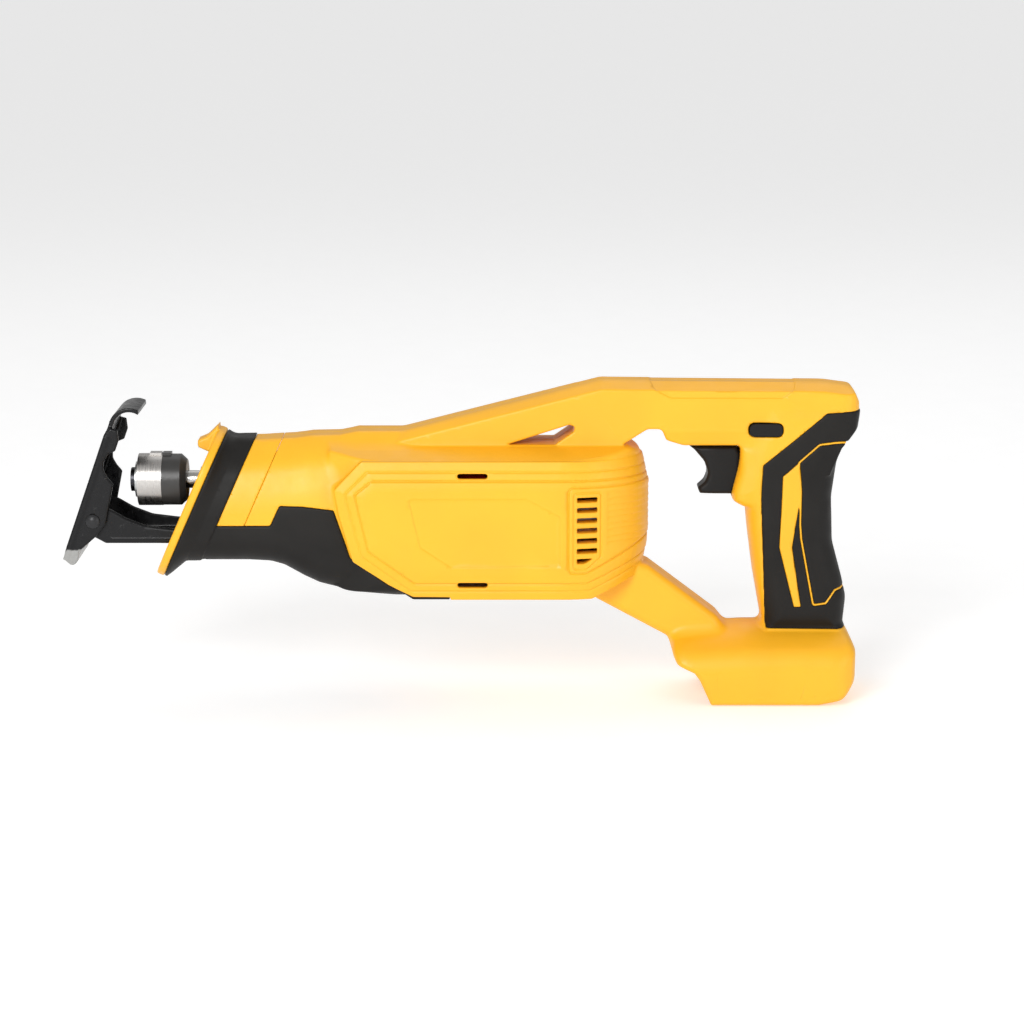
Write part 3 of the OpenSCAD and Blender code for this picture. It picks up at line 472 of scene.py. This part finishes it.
def housing():
    """The two halves of the casing and of the rubber grip."""
    b = Block((-280, -39, -1.5), (41, 1.6, 168.5), FINE)
    solid, plan = outside(b)
    inner = solid + WALL
    inner = np.maximum(inner, 20 - b.z)
    inner = np.minimum(inner, both(box(b, (-31, -12, 20), (24, 12, 34)), 20 - b.z))
    inner = without(inner, flat(GAP, b.x, b.z) - 2.4)
    button = round_slot(b.x, b.z, BUTTON, BUTTON_SLOT[:2], BUTTON_SLOT[2])
    inner = without(inner, button - 2)
    for x, z in SCREWS:
        inner = without(inner, rod(b, x, z, 5.2))
    inner = without(inner, both(slab(b.x, -110.5, -92.5), both(slab(b.z, 70, 114), -(plan + 8))))
    shell = without(solid, inner)
    rubber = grip_rubber(b)
    skin = both(both(rubber, -(solid + RUBBER)), b.x - 60)
    shell = without(shell, skin)
    window = flat(VENT_WINDOW, b.x, b.z)
    slots = np.minimum.reduce([slab(b.z, VENT_TOP - i * VENT_PITCH - VENT_HEIGHT / 2,
                                    VENT_TOP - i * VENT_PITCH + VENT_HEIGHT / 2) for i in range(VENT_SLOTS)])
    deep = -(plan + 12)
    frame_line = flat(VENT_FRAME, b.x, b.z)
    shell = without(shell, both(np.abs(frame_line) - 0.35, -(plan + 0.1)))
    shell = without(shell, both(both(window, slots, 0.4), deep), 0.3)
    for middle in FAN_SLOTS:
        slot = round_slot(b.x, b.z, middle, FAN_SLOT, FAN_SLOT[1] / 2 - 0.01)
        shell = without(shell, both(slot, 26 - b.across), 0.4)
    shell = without(shell, flat(GAP, b.x, b.z), 0.8)
    shell = without(shell, box(b, *TRIGGER_OPENING), 0.5)
    shell = without(shell, button, 0.5)
    shell = without(shell, box(b, (-80, -27, -10), (20, 27, 17)), 0.5)
    for y in (-4, 4):
        wire_hole = np.hypot(b.x - 12, b.y - y) - 2
        shell = without(shell, both(wire_hole, slab(b.z, 16, 30)))
    shell = without(shell, ahead_of(b, SHELL_X) - 0.04, 0.35)
    shell = without(shell, flat(BELLY, b.x, b.z) - 0.04, 0.35)
    joint = b.y + 0.03
    left = both(shell, joint, 0.3)
    pieces = [shape("left_shell", b, left)]
    sunk = np.minimum.reduce([rod(b, x, z, 4) for x, z in SCREWS])
    right = without(left, both(sunk, 9 - b.across), 0.4)
    pieces.append(shape("right_shell", b, right, mirror=True))
    for piece, node in zip(pieces, ("left_housing", "right_housing")):
        dress(piece, "housing", "yellow_plastic", yellow, node)
    cover = both(both(rubber + 0.06, -(solid + RUBBER)), solid - 0.25, 0.45)
    cover = both(cover, joint, 0.3)
    cover = without(cover, both(button, 10 - b.across), 0.4)
    left = shape("left_grip_cover", b, cover)
    right = shape("right_grip_cover", b, without(cover, both(sunk, 9 - b.across), 0.4), mirror=True)
    for piece, node in ((left, "left_grip"), (right, "right_grip")):
        dress(piece, "housing", "black_rubber", rubber_material, node)


def nose_band():
    b = Block((-296, -29, 88), (-254, 29, 140), FINE * 0.8)
    solid = nose(b)
    solid = without(solid, solid + WALL)
    solid = both(solid, ahead_of(b, SHELL_X) + 0.04, 0.35)
    solid = without(solid, ahead_of(b, BAND_X) - 0.04, 0.35)
    solid = without(solid, flat(BELLY, b.x, b.z) - 0.04, 0.35)
    dress(shape("nose_band_shell", b, solid), "housing", "yellow_plastic", yellow, "nose_band")


# ---- the guard ring and the boot ----

RING_MID = (-307.5, 102.7)
RING_SIZE = (82.5, 62, 27)
RING_T = 4.2
MOUTH = (56, 40, 12)
HOOD = [(-291, 142.4), (-297.3, 136.3, 1), (-301.9, 134.4, 1), (-302, 128.4, 1), (-300.4, 126.4),
        (-290, 120)]
HOOD_HALF = 6.5
LIGHT = (131.6, 2.0)


def slanted(b):
    """Distance behind the ring's front plane, and height along that plane."""
    dx, dz = b.x - RING_MID[0], b.z - RING_MID[1]
    return (dx * math.cos(SLANT) - dz * math.sin(SLANT), dx * math.sin(SLANT) + dz * math.cos(SLANT))


def oval(b, height, size):
    return round_slot(height, b.y, (0, 0), size[:2], size[2])


def guard_ring():
    b = Block((-333, -33, 58), (-284, 33, 146), FINE * 0.8)
    depth, height = slanted(b)
    solid = both(oval(b, height, RING_SIZE), slab(depth, 0, RING_T), 1.3)
    hood = both(both(flat(HOOD, b.x, b.z), b.across - HOOD_HALF, 1.4), depth - RING_T)
    solid = either(solid, hood, 1.2)
    solid = without(solid, oval(b, height, MOUTH), 1)
    light = np.hypot(b.y, b.z - LIGHT[0])
    solid = without(solid, both(light - LIGHT[1] - 0.05, slab(b.x, -310, -297.5)), 0.5)
    solid = without(solid, box(b, (-298, -5, 129.2), (-280, 5, 135.2)))
    dress(shape("guard_ring_shell", b, solid), "housing", "yellow_plastic", yellow, "guard_ring")


def boot():
    b = Block((-330, -36.6, 53), (-169, 36.6, 144), FINE)
    depth, height = slanted(b)
    lip = oval(b, height, (RING_SIZE[0] - 0.8, RING_SIZE[1] - 0.6, RING_SIZE[2] - 0.3))
    inner = nose(b)
    loft = np.clip((depth - RING_T - 1.4) / 6.2, 0, 1)
    flare = (1 - loft) * lip + loft * (inner - 0.9)
    front = both(flare, ahead_of(b, BAND_X) + 0.04, 0.5)
    side, plan = body(b)
    lower = np.minimum(inner - 0.3, side + 0.25)
    lower = both(lower, flat(BELLY, b.x, b.z) + 0.05, 0.5)
    solid = np.minimum(front, lower)
    solid = without(solid, np.minimum(inner, side) + WALL)
    solid = both(solid, RING_T + 0.1 - depth, 0.5)
    solid = without(solid, both(oval(b, height, MOUTH), depth - 20), 1)
    dress(shape("nose_boot_cover", b, solid), "housing", "black_rubber", rubber_material, "nose_boot")


# ---- the trigger ----

TRIGGER = [(-48.6, 131.5), (-45.6, 129.2, 1), (-40.6, 123.4, 6), (-38.6, 117.4, 6), (-40.4, 112.6, 5),
           (-44, 109.6, 1.2), (-42.8, 106.6, 1.2), (-26, 106.5, 1.5), (-23.8, 109.4, 2), (-21.7, 119, 10),
           (-21.7, 127, 3), (-24, 131.5, 2)]
TRIGGER_HALF = 8


def trigger():
    b = Block((-50, -9, 104.5), (-11.5, 9, 133), SMALL)
    side = flat(TRIGGER, b.x, b.z)
    front = np.maximum(-34 - b.x, 0)
    solid = both(side, b.across - TRIGGER_HALF + 0.012 * front ** 2, 2.2)
    stem = both(np.hypot(b.y, b.z - 119) - 3, slab(b.x, -24, -13))
    dress(shape("trigger_lever", b, np.minimum(solid, stem)), "trigger", "black_plastic", black_plastic,
          "trigger")


# ---- the shoe and its bracket ----

SHOE_HALF = 20.5
SHEET = 2.2
SHOE_TIP = (-369.6, 78.4)
SHOE_TOP = (-346.6, 143)
TAB_START = 71.8  # where the tab starts to curl, measured up the face from the tip
TAB_END = -330.8
CURL_R = 10.5
FLANGE = [(-368.6, 81), (-347.6, 140.8, 1), (-345, 143, 1), (-341.4, 142, 0.8), (-340.8, 136.6, 1),
          (-342.8, 131, 1),
          (-346.4, 129.6, 3), (-348.8, 125.4, 4), (-349, 121, 4), (-347, 117.4, 3), (-344.2, 114, 1),
          (-348.4, 93, 3), (-352.6, 87.4, 4), (-362.4, 78.8, 3), (-366.8, 72.4, 1.5), (-369.2, 74, 2)]
PIVOT = (-355, 94.6)


def shoe():
    b = Block((-374, -21.8, 69), (-326, 21.8, 157), SMALL)
    along = (SHOE_TOP[0] - SHOE_TIP[0], SHOE_TOP[1] - SHOE_TIP[1])
    lean = math.hypot(*along)
    behind = ((b.x - SHOE_TIP[0]) * along[1] - (b.z - SHOE_TIP[1]) * along[0]) / lean
    up = ((b.x - SHOE_TIP[0]) * along[0] + (b.z - SHOE_TIP[1]) * along[1]) / lean
    half = SHOE_HALF - 2.3 * np.clip((up - 64) / 1.5, 0, 1)
    face = both(slab(behind, 0, SHEET), slab(up, -4, TAB_START))
    face = both(face, b.across - half, 0.6)
    side = both(flat(FLANGE, b.x, b.z), b.across - SHOE_HALF, 1.1)
    flanges = both(side, SHOE_HALF - SHEET - b.across, 0.5)
    centre = (SHOE_TIP[0] + (along[0] * TAB_START + along[1] * CURL_R) / lean,
              SHOE_TIP[1] + (along[1] * TAB_START - along[0] * CURL_R) / lean)
    curl = np.hypot(b.x - centre[0], b.z - centre[1])
    curl = both(slab(curl, CURL_R - SHEET, CURL_R), both(TAB_START - 0.2 - up, b.x - TAB_END), 0.3)
    curl = both(curl, b.across - SHOE_HALF + 2.3, 0.6)
    tip = np.hypot(b.x + 366.2, (b.z - 77.4) * 0.62)
    tip = both(both(slab(tip, 1.6, 3.6), b.z - 79.5), b.across - SHOE_HALF + 0.2, 0.8)
    solid = either(either(face, flanges, 1.4), curl, 0.6)
    solid = either(solid, tip, 0.6)
    slot = both(round_slot(up, b.y, (36, 0), (56, 12), 5.5), slab(behind, -6, 8))
    solid = without(solid, slot, 0.5)
    solid = without(solid, rod(b, *PIVOT, 3.05))
    dress(shape("shoe_shell", b, solid), "shoe", "black_metal", shoe_material, "shoe_plate")


RIVET_HALF = 20.7
DOME_MIDDLE, DOME_R = 17.2, 5.3  # centre and radius of the sphere that a rivet's head is cut from


def rivets():
    """The two pins that the shoe tilts on, with domed heads outside and washers inside."""
    b = Block((-361, -24, 88), (-349, 24, 101), SMALL)
    pin = both(rod(b, *PIVOT, 3), slab(b.across, 14, RIVET_HALF))
    from_axis = np.hypot(b.x - PIVOT[0], b.z - PIVOT[1])
    dome = both(np.hypot(from_axis, b.across - DOME_MIDDLE) - DOME_R, RIVET_HALF - b.across, 0.2)
    washer = both(rod(b, *PIVOT, 4.4), slab(b.across, 13.9, 15.1), 0.3)
    piece = shape("shoe_rivet_heads", b, np.minimum(np.minimum(pin, dome), washer))
    dress(piece, "housing", "dark_steel", FINISHES["shoe_rivets"], "shoe_rivets")


BRACKET = [(-250, 82.4), (-250, 88, 1), (-300, 88.4), (-316.9, 90.4, 20), (-328.4, 91.8, 12),
           (-338.2, 95.6, 12), (-346.8, 100.6, 8), (-357, 102, 6), (-362, 97, 6), (-361.4, 89, 7),
           (-353, 84.6, 5), (-349, 82.4, 2)]
BRACKET_HALF = 17.7
BRACKET_SHEET = 2.4
BRACKET_BOLTS = (-274, -258)


def bracket():
    b = Block((-364, -18.8, 80.8), (-248.5, 18.8, 103.6), SMALL)
    side = both(flat(BRACKET, b.x, b.z), b.across - BRACKET_HALF, 1.6)
    inner = both(flat(BRACKET, b.x, b.z - BRACKET_SHEET) - 6, b.across - BRACKET_HALF + BRACKET_SHEET, 1)
    inner = both(inner, 82.4 + BRACKET_SHEET - b.z, 0.8)
    solid = without(side, inner, 0.5)
    solid = without(solid, both(both(b.x + 350, 60 - b.z), b.across - BRACKET_HALF + BRACKET_SHEET))
    ridge = both(slab(b.z, 84.7, 85.5), b.across - BRACKET_HALF - 0.25, 0.2)
    solid = np.minimum(solid, both(both(ridge, slab(b.x, -346, -251)), BRACKET_HALF - 1 - b.across))
    solid = without(solid, rod(b, *PIVOT, 3.0))
    for x in BRACKET_BOLTS:
        solid = without(solid, np.hypot(b.x - x, b.y) - 1.9)
    dress(shape("shoe_bracket_shell", b, solid), "housing", "black_metal", coated, "shoe_bracket")


# ---- materials ----

def nodes_of(name):
    material = bpy.data.materials.new(name)
    material.use_nodes = True
    tree = material.node_tree
    return material, tree, tree.nodes["Principled BSDF"]


def noise(tree, scale, detail=2.0, stretch=(1, 1, 1), rough=0.5):
    """Noise over the object's own space, scale in features per metre."""
    place = tree.nodes.new("ShaderNodeTexCoord")
    sized = tree.nodes.new("ShaderNodeMapping")
    sized.inputs["Scale"].default_value = stretch
    texture = tree.nodes.new("ShaderNodeTexNoise")
    texture.inputs["Scale"].default_value = scale
    texture.inputs["Detail"].default_value = detail
    texture.inputs["Roughness"].default_value = rough
    tree.links.new(place.outputs["Object"], sized.inputs["Vector"])
    tree.links.new(sized.outputs["Vector"], texture.inputs["Vector"])
    return texture.outputs["Fac"]


def ramp(tree, value, stops):
    """Turns a value from 0 to 1 into the colours at the stops."""
    turn = tree.nodes.new("ShaderNodeValToRGB")
    turn.color_ramp.elements[0].position = stops[0][0]
    turn.color_ramp.elements[0].color = (*stops[0][1], 1)
    turn.color_ramp.elements[1].position = stops[-1][0]
    turn.color_ramp.elements[1].color = (*stops[-1][1], 1)
    for position, colour in stops[1:-1]:
        turn.color_ramp.elements.new(position).color = (*colour, 1)
    tree.links.new(value, turn.inputs["Fac"])
    return turn.outputs["Color"]


def spread(tree, value, low, high):
    """Stretches a value from 0 to 1 over a range."""
    turn = tree.nodes.new("ShaderNodeMapRange")
    turn.inputs["From Min"].default_value = 0.3
    turn.inputs["From Max"].default_value = 0.7
    turn.inputs["To Min"].default_value = low
    turn.inputs["To Max"].default_value = high
    tree.links.new(value, turn.inputs["Value"])
    return turn.outputs["Result"]


def bumped(tree, shader, value, depth, strength=1.0):
    bump = tree.nodes.new("ShaderNodeBump")
    bump.inputs["Strength"].default_value = strength
    bump.inputs["Distance"].default_value = depth
    tree.links.new(value, bump.inputs["Height"])
    tree.links.new(bump.outputs["Normal"], shader.inputs["Normal"])


def tint(colour, factor):
    return tuple(min(1.0, c * factor) for c in colour)


def moulded(name, colour, roughness, grain=1800, depth=0.00002, vary=0.05, coat=0.0, specular=0.5):
    """Moulded plastic or rubber: a fine spark-eroded grain and faint uneven colour and gloss."""
    material, tree, shader = nodes_of(name)
    cloud = noise(tree, 35, 3)
    tree.links.new(ramp(tree, cloud, [(0.35, tint(colour, 1 - vary)), (0.65, tint(colour, 1 + vary))]),
                   shader.inputs["Base Color"])
    tree.links.new(spread(tree, noise(tree, 120, 4), roughness - 0.05, roughness + 0.06),
                   shader.inputs["Roughness"])
    shader.inputs["IOR"].default_value = 1.48
    shader.inputs["Coat Weight"].default_value = coat
    shader.inputs["Specular IOR Level"].default_value = specular
    bumped(tree, shader, noise(tree, grain, 2, rough=0.6), depth)
    return material


def metal(name, colour, roughness, stretch=(1, 1, 1), grain=900, depth=0.00001, vary=0.12, metallic=1.0):
    """Machined or plated metal, with tool marks along the long axis of its stretch."""
    material, tree, shader = nodes_of(name)
    marks = noise(tree, grain, 5, stretch, 0.65)
    cloud = noise(tree, 60, 4)
    mix = tree.nodes.new("ShaderNodeMath")
    mix.operation = "MULTIPLY_ADD"
    mix.inputs[1].default_value = 0.5
    half = tree.nodes.new("ShaderNodeMath")
    half.operation = "MULTIPLY"
    half.inputs[1].default_value = 0.5
    tree.links.new(cloud, half.inputs[0])
    tree.links.new(marks, mix.inputs[0])
    tree.links.new(half.outputs[0], mix.inputs[2])
    shades = [(0.35, tint(colour, 1 - vary)), (0.65, tint(colour, 1 + vary))]
    tree.links.new(ramp(tree, mix.outputs[0], shades), shader.inputs["Base Color"])
    shader.inputs["Metallic"].default_value = metallic
    tree.links.new(spread(tree, marks, roughness - 0.08, roughness + 0.1), shader.inputs["Roughness"])
    bumped(tree, shader, marks, depth)
    return material


def rubbed_below(tree, colour, height, bare):
    """The colour, turning to bare metal below a height, along an uneven edge."""
    place = tree.nodes.new("ShaderNodeTexCoord")
    parts = tree.nodes.new("ShaderNodeSeparateXYZ")
    uneven = tree.nodes.new("ShaderNodeMath")
    uneven.operation = "MULTIPLY_ADD"
    uneven.inputs[1].default_value = 0.004
    edge = tree.nodes.new("ShaderNodeMapRange")
    edge.inputs["From Min"].default_value = height + 0.0015
    edge.inputs["From Max"].default_value = height + 0.0025
    edge.inputs["To Min"].default_value = 1
    edge.inputs["To Max"].default_value = 0
    mix = tree.nodes.new("ShaderNodeMix")
    mix.data_type = "RGBA"
    mix.inputs["B"].default_value = (*bare, 1)
    tree.links.new(place.outputs["Object"], parts.inputs["Vector"])
    tree.links.new(noise(tree, 300, 4), uneven.inputs[0])
    tree.links.new(parts.outputs["Z"], uneven.inputs[2])
    tree.links.new(uneven.outputs[0], edge.inputs["Value"])
    tree.links.new(edge.outputs["Result"], mix.inputs["Factor"])
    tree.links.new(colour, mix.inputs["A"])
    return mix.outputs["Result"]


def worn_black(name, colour, roughness, bare, wear_scale, wear_at, metallic=0.0, rubbed=None):
    """Black coating on steel, speckled and rubbed through in places, and below a height if one is given."""
    material, tree, shader = nodes_of(name)
    patches = noise(tree, wear_scale, 8, rough=0.7)
    shades = [(0.0, tint(colour, 0.8)), (wear_at - 0.04, tint(colour, 1.2)), (wear_at, bare)]
    coating = ramp(tree, patches, shades)
    if rubbed is not None:
        coating = rubbed_below(tree, coating, rubbed, (0.3, 0.3, 0.29))
    tree.links.new(coating, shader.inputs["Base Color"])
    tree.links.new(spread(tree, noise(tree, 240, 5), roughness - 0.1, roughness + 0.12),
                   shader.inputs["Roughness"])
    shader.inputs["Metallic"].default_value = metallic
    shader.inputs["Specular IOR Level"].default_value = 0.24
    bumped(tree, shader, noise(tree, 700, 6, rough=0.65), 0.00006)
    return material


def grid_board(name):
    """Green circuit board with fine pale tracks."""
    material, tree, shader = nodes_of(name)
    place = tree.nodes.new("ShaderNodeTexCoord")
    wave = tree.nodes.new("ShaderNodeTexWave")
    wave.bands_direction = "Z"
    wave.inputs["Scale"].default_value = 400
    wave.inputs["Distortion"].default_value = 2
    tree.links.new(place.outputs["Object"], wave.inputs["Vector"])
    tree.links.new(ramp(tree, wave.outputs["Fac"], [(0.7, (0.01, 0.09, 0.03)), (0.8, (0.05, 0.22, 0.08))]),
                   shader.inputs["Base Color"])
    shader.inputs["Roughness"].default_value = 0.4
    bumped(tree, shader, wave.outputs["Fac"], 0.00004)
    return material


YELLOW = (0.87, 0.425, 0.012)
yellow = moulded("yellow_plastic", YELLOW, 0.42, vary=0.025)
rubber_material = moulded("black_rubber", (0.0125, 0.0115, 0.0105), 0.5, grain=2600, depth=0.00003, vary=0.15,
                          specular=0.18)
black_plastic = moulded("black_plastic", (0.009, 0.0085, 0.008), 0.4, vary=0.12, specular=0.2)
coated = worn_black("black_coating", (0.005, 0.005, 0.0055), 0.3, (0.03, 0.03, 0.03), 300, 0.66)
shoe_material = worn_black("scuffed_black_coating", (0.005, 0.005, 0.0055), 0.28, (0.1, 0.098, 0.095), 420,
                           0.7, rubbed=0.0795)

MATERIALS = {
    "black_plastic": black_plastic,
    "red_plastic": moulded("red_plastic", (0.5, 0.02, 0.012), 0.4),
    "clear_plastic": moulded("led_lens", (0.86, 0.87, 0.82), 0.12, depth=0.000004, vary=0.02, coat=0.6),
    "circuit_board": grid_board("circuit_board"),
    "bright_steel": metal("bright_steel", (0.56, 0.55, 0.54), 0.3, (0.15, 1, 1)),
    "dark_steel": metal("dark_steel", (0.07, 0.07, 0.075), 0.38, vary=0.2),
    "zinc_steel": metal("zinc_steel", (0.52, 0.53, 0.52), 0.36, vary=0.15),
    "alloy": metal("cast_alloy", (0.42, 0.43, 0.44), 0.5, grain=500, depth=0.00006),
    "copper": metal("copper_wire", (0.62, 0.24, 0.1), 0.35, (1, 0.1, 1), grain=1400, depth=0.00008),
    "bronze": metal("bronze", (0.5, 0.31, 0.12), 0.4),
    "carbon": moulded("carbon", (0.04, 0.04, 0.042), 0.6, grain=900),
    "black_metal": coated,
    "yellow_plastic": yellow,
    "black_rubber": rubber_material,
}
FINISHES = {
    "clamp_sleeve": metal("turned_steel", (0.5, 0.48, 0.46), 0.3, (1, 0.06, 0.06), grain=2500, depth=0.00001),
    "clamp_collar": moulded("collar_plastic", (0.03, 0.029, 0.028), 0.32, grain=600, depth=0.00005, vary=0.2),
    "clamp_body": metal("blued_steel", (0.045, 0.045, 0.05), 0.3, vary=0.25),
    "plunger_rod": metal("ground_steel", (0.5, 0.49, 0.47), 0.22, (0.1, 1, 1), grain=1500),
    "shoe_rivets": worn_black("rivet_black", (0.02, 0.02, 0.021), 0.3, (0.12, 0.12, 0.12), 500, 0.72),
    "battery_lead_red": moulded("red_insulation", (0.45, 0.015, 0.01), 0.35),
    "motor_lead_red": moulded("red_lead", (0.45, 0.015, 0.01), 0.35),
}


def dress(piece, body_name, slot, material, *nodes):
    """Gives a piece its material and body, and hides the CAD nodes that it stands for. The slot is not used.
    """
    piece.data.materials.clear()
    piece.data.materials.append(material)
    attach(piece, body_name)
    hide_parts(*nodes)


def dress_frame():
    """Materials of the CAD nodes that stay."""
    slots = {}
    for row in frame["record"]["subparts"]:
        slots[row["node"]] = row["material_slot"]
    for name, node in frame["nodes"].items():
        material = FINISHES.get(name) or MATERIALS[slots.get(name, "black_plastic")]
        for place in node.material_slots:
            place.material = material
        if not node.material_slots:
            node.data.materials.append(material)


# ---- floor, light and camera ----

CAMERA_TARGET = Vector((-0.1399, 0, 0.0956))
CAMERA_DISTANCE = 1.6
CAMERA_HEIGHT = math.radians(11)
FRAME_WIDTH = 0.532  # width of the picture at the target
FLOOR_REACH = 40
FLOOR_GLOW = 0.36  # keeps the far floor pale, where the lamps don't reach


def look_at(thing, place, target):
    thing.location = place
    thing.rotation_euler = (target - place).to_track_quat("-Z", "Y").to_euler()
    bpy.context.scene.collection.objects.link(thing)


def area_light(name, place, size, power, colour=(1, 1, 1)):
    data = bpy.data.lights.new(name, "AREA")
    data.shape = "DISK"
    data.size = size
    data.energy = power
    data.color = colour
    look_at(bpy.data.objects.new(name, data), Vector(place), CAMERA_TARGET)


def studio():
    floor = bpy.data.meshes.new("floor")
    ends = [(-1, -1), (1, -1), (1, 1), (-1, 1)]
    floor.from_pydata([(FLOOR_REACH * x, FLOOR_REACH * y, 0) for x, y in ends], [], [(0, 1, 2, 3)])
    stage = bpy.data.objects.new("floor", floor)
    stage.location.z = cad_box[0][2] - 0.0005
    bpy.context.scene.collection.objects.link(stage)
    floor_material = moulded("pale_floor", (0.86, 0.86, 0.86), 0.7, grain=300, vary=0.01)
    shader = floor_material.node_tree.nodes["Principled BSDF"]
    shader.inputs["Emission Color"].default_value = (1, 1, 1, 1)
    shader.inputs["Emission Strength"].default_value = FLOOR_GLOW
    stage.data.materials.append(floor_material)
    world = bpy.data.worlds.new("studio")
    bpy.context.scene.world = world
    world.use_nodes = True
    world.node_tree.nodes["Background"].inputs["Color"].default_value = (1, 1, 1, 1)
    world.node_tree.nodes["Background"].inputs["Strength"].default_value = 0.5
    area_light("key", (-0.8, -1.7, 0.9), 0.9, 25)
    area_light("fill", (1.2, -1.3, 0.5), 1.2, 6)
    area_light("back", (0.1, 1.0, 1.7), 1.6, 5)
    bpy.context.scene.view_settings.view_transform = "Standard"
    data = bpy.data.cameras.new("camera")
    data.sensor_width = 36
    data.lens = 36 * CAMERA_DISTANCE / FRAME_WIDTH
    camera = bpy.data.objects.new("camera", data)
    place = CAMERA_TARGET + CAMERA_DISTANCE * Vector((0, -math.cos(CAMERA_HEIGHT), math.sin(CAMERA_HEIGHT)))
    look_at(camera, place, CAMERA_TARGET)
    bpy.context.scene.camera = camera


studio()
dress_frame()
housing()
nose_band()
guard_ring()
boot()
trigger()
shoe()
rivets()
bracket()
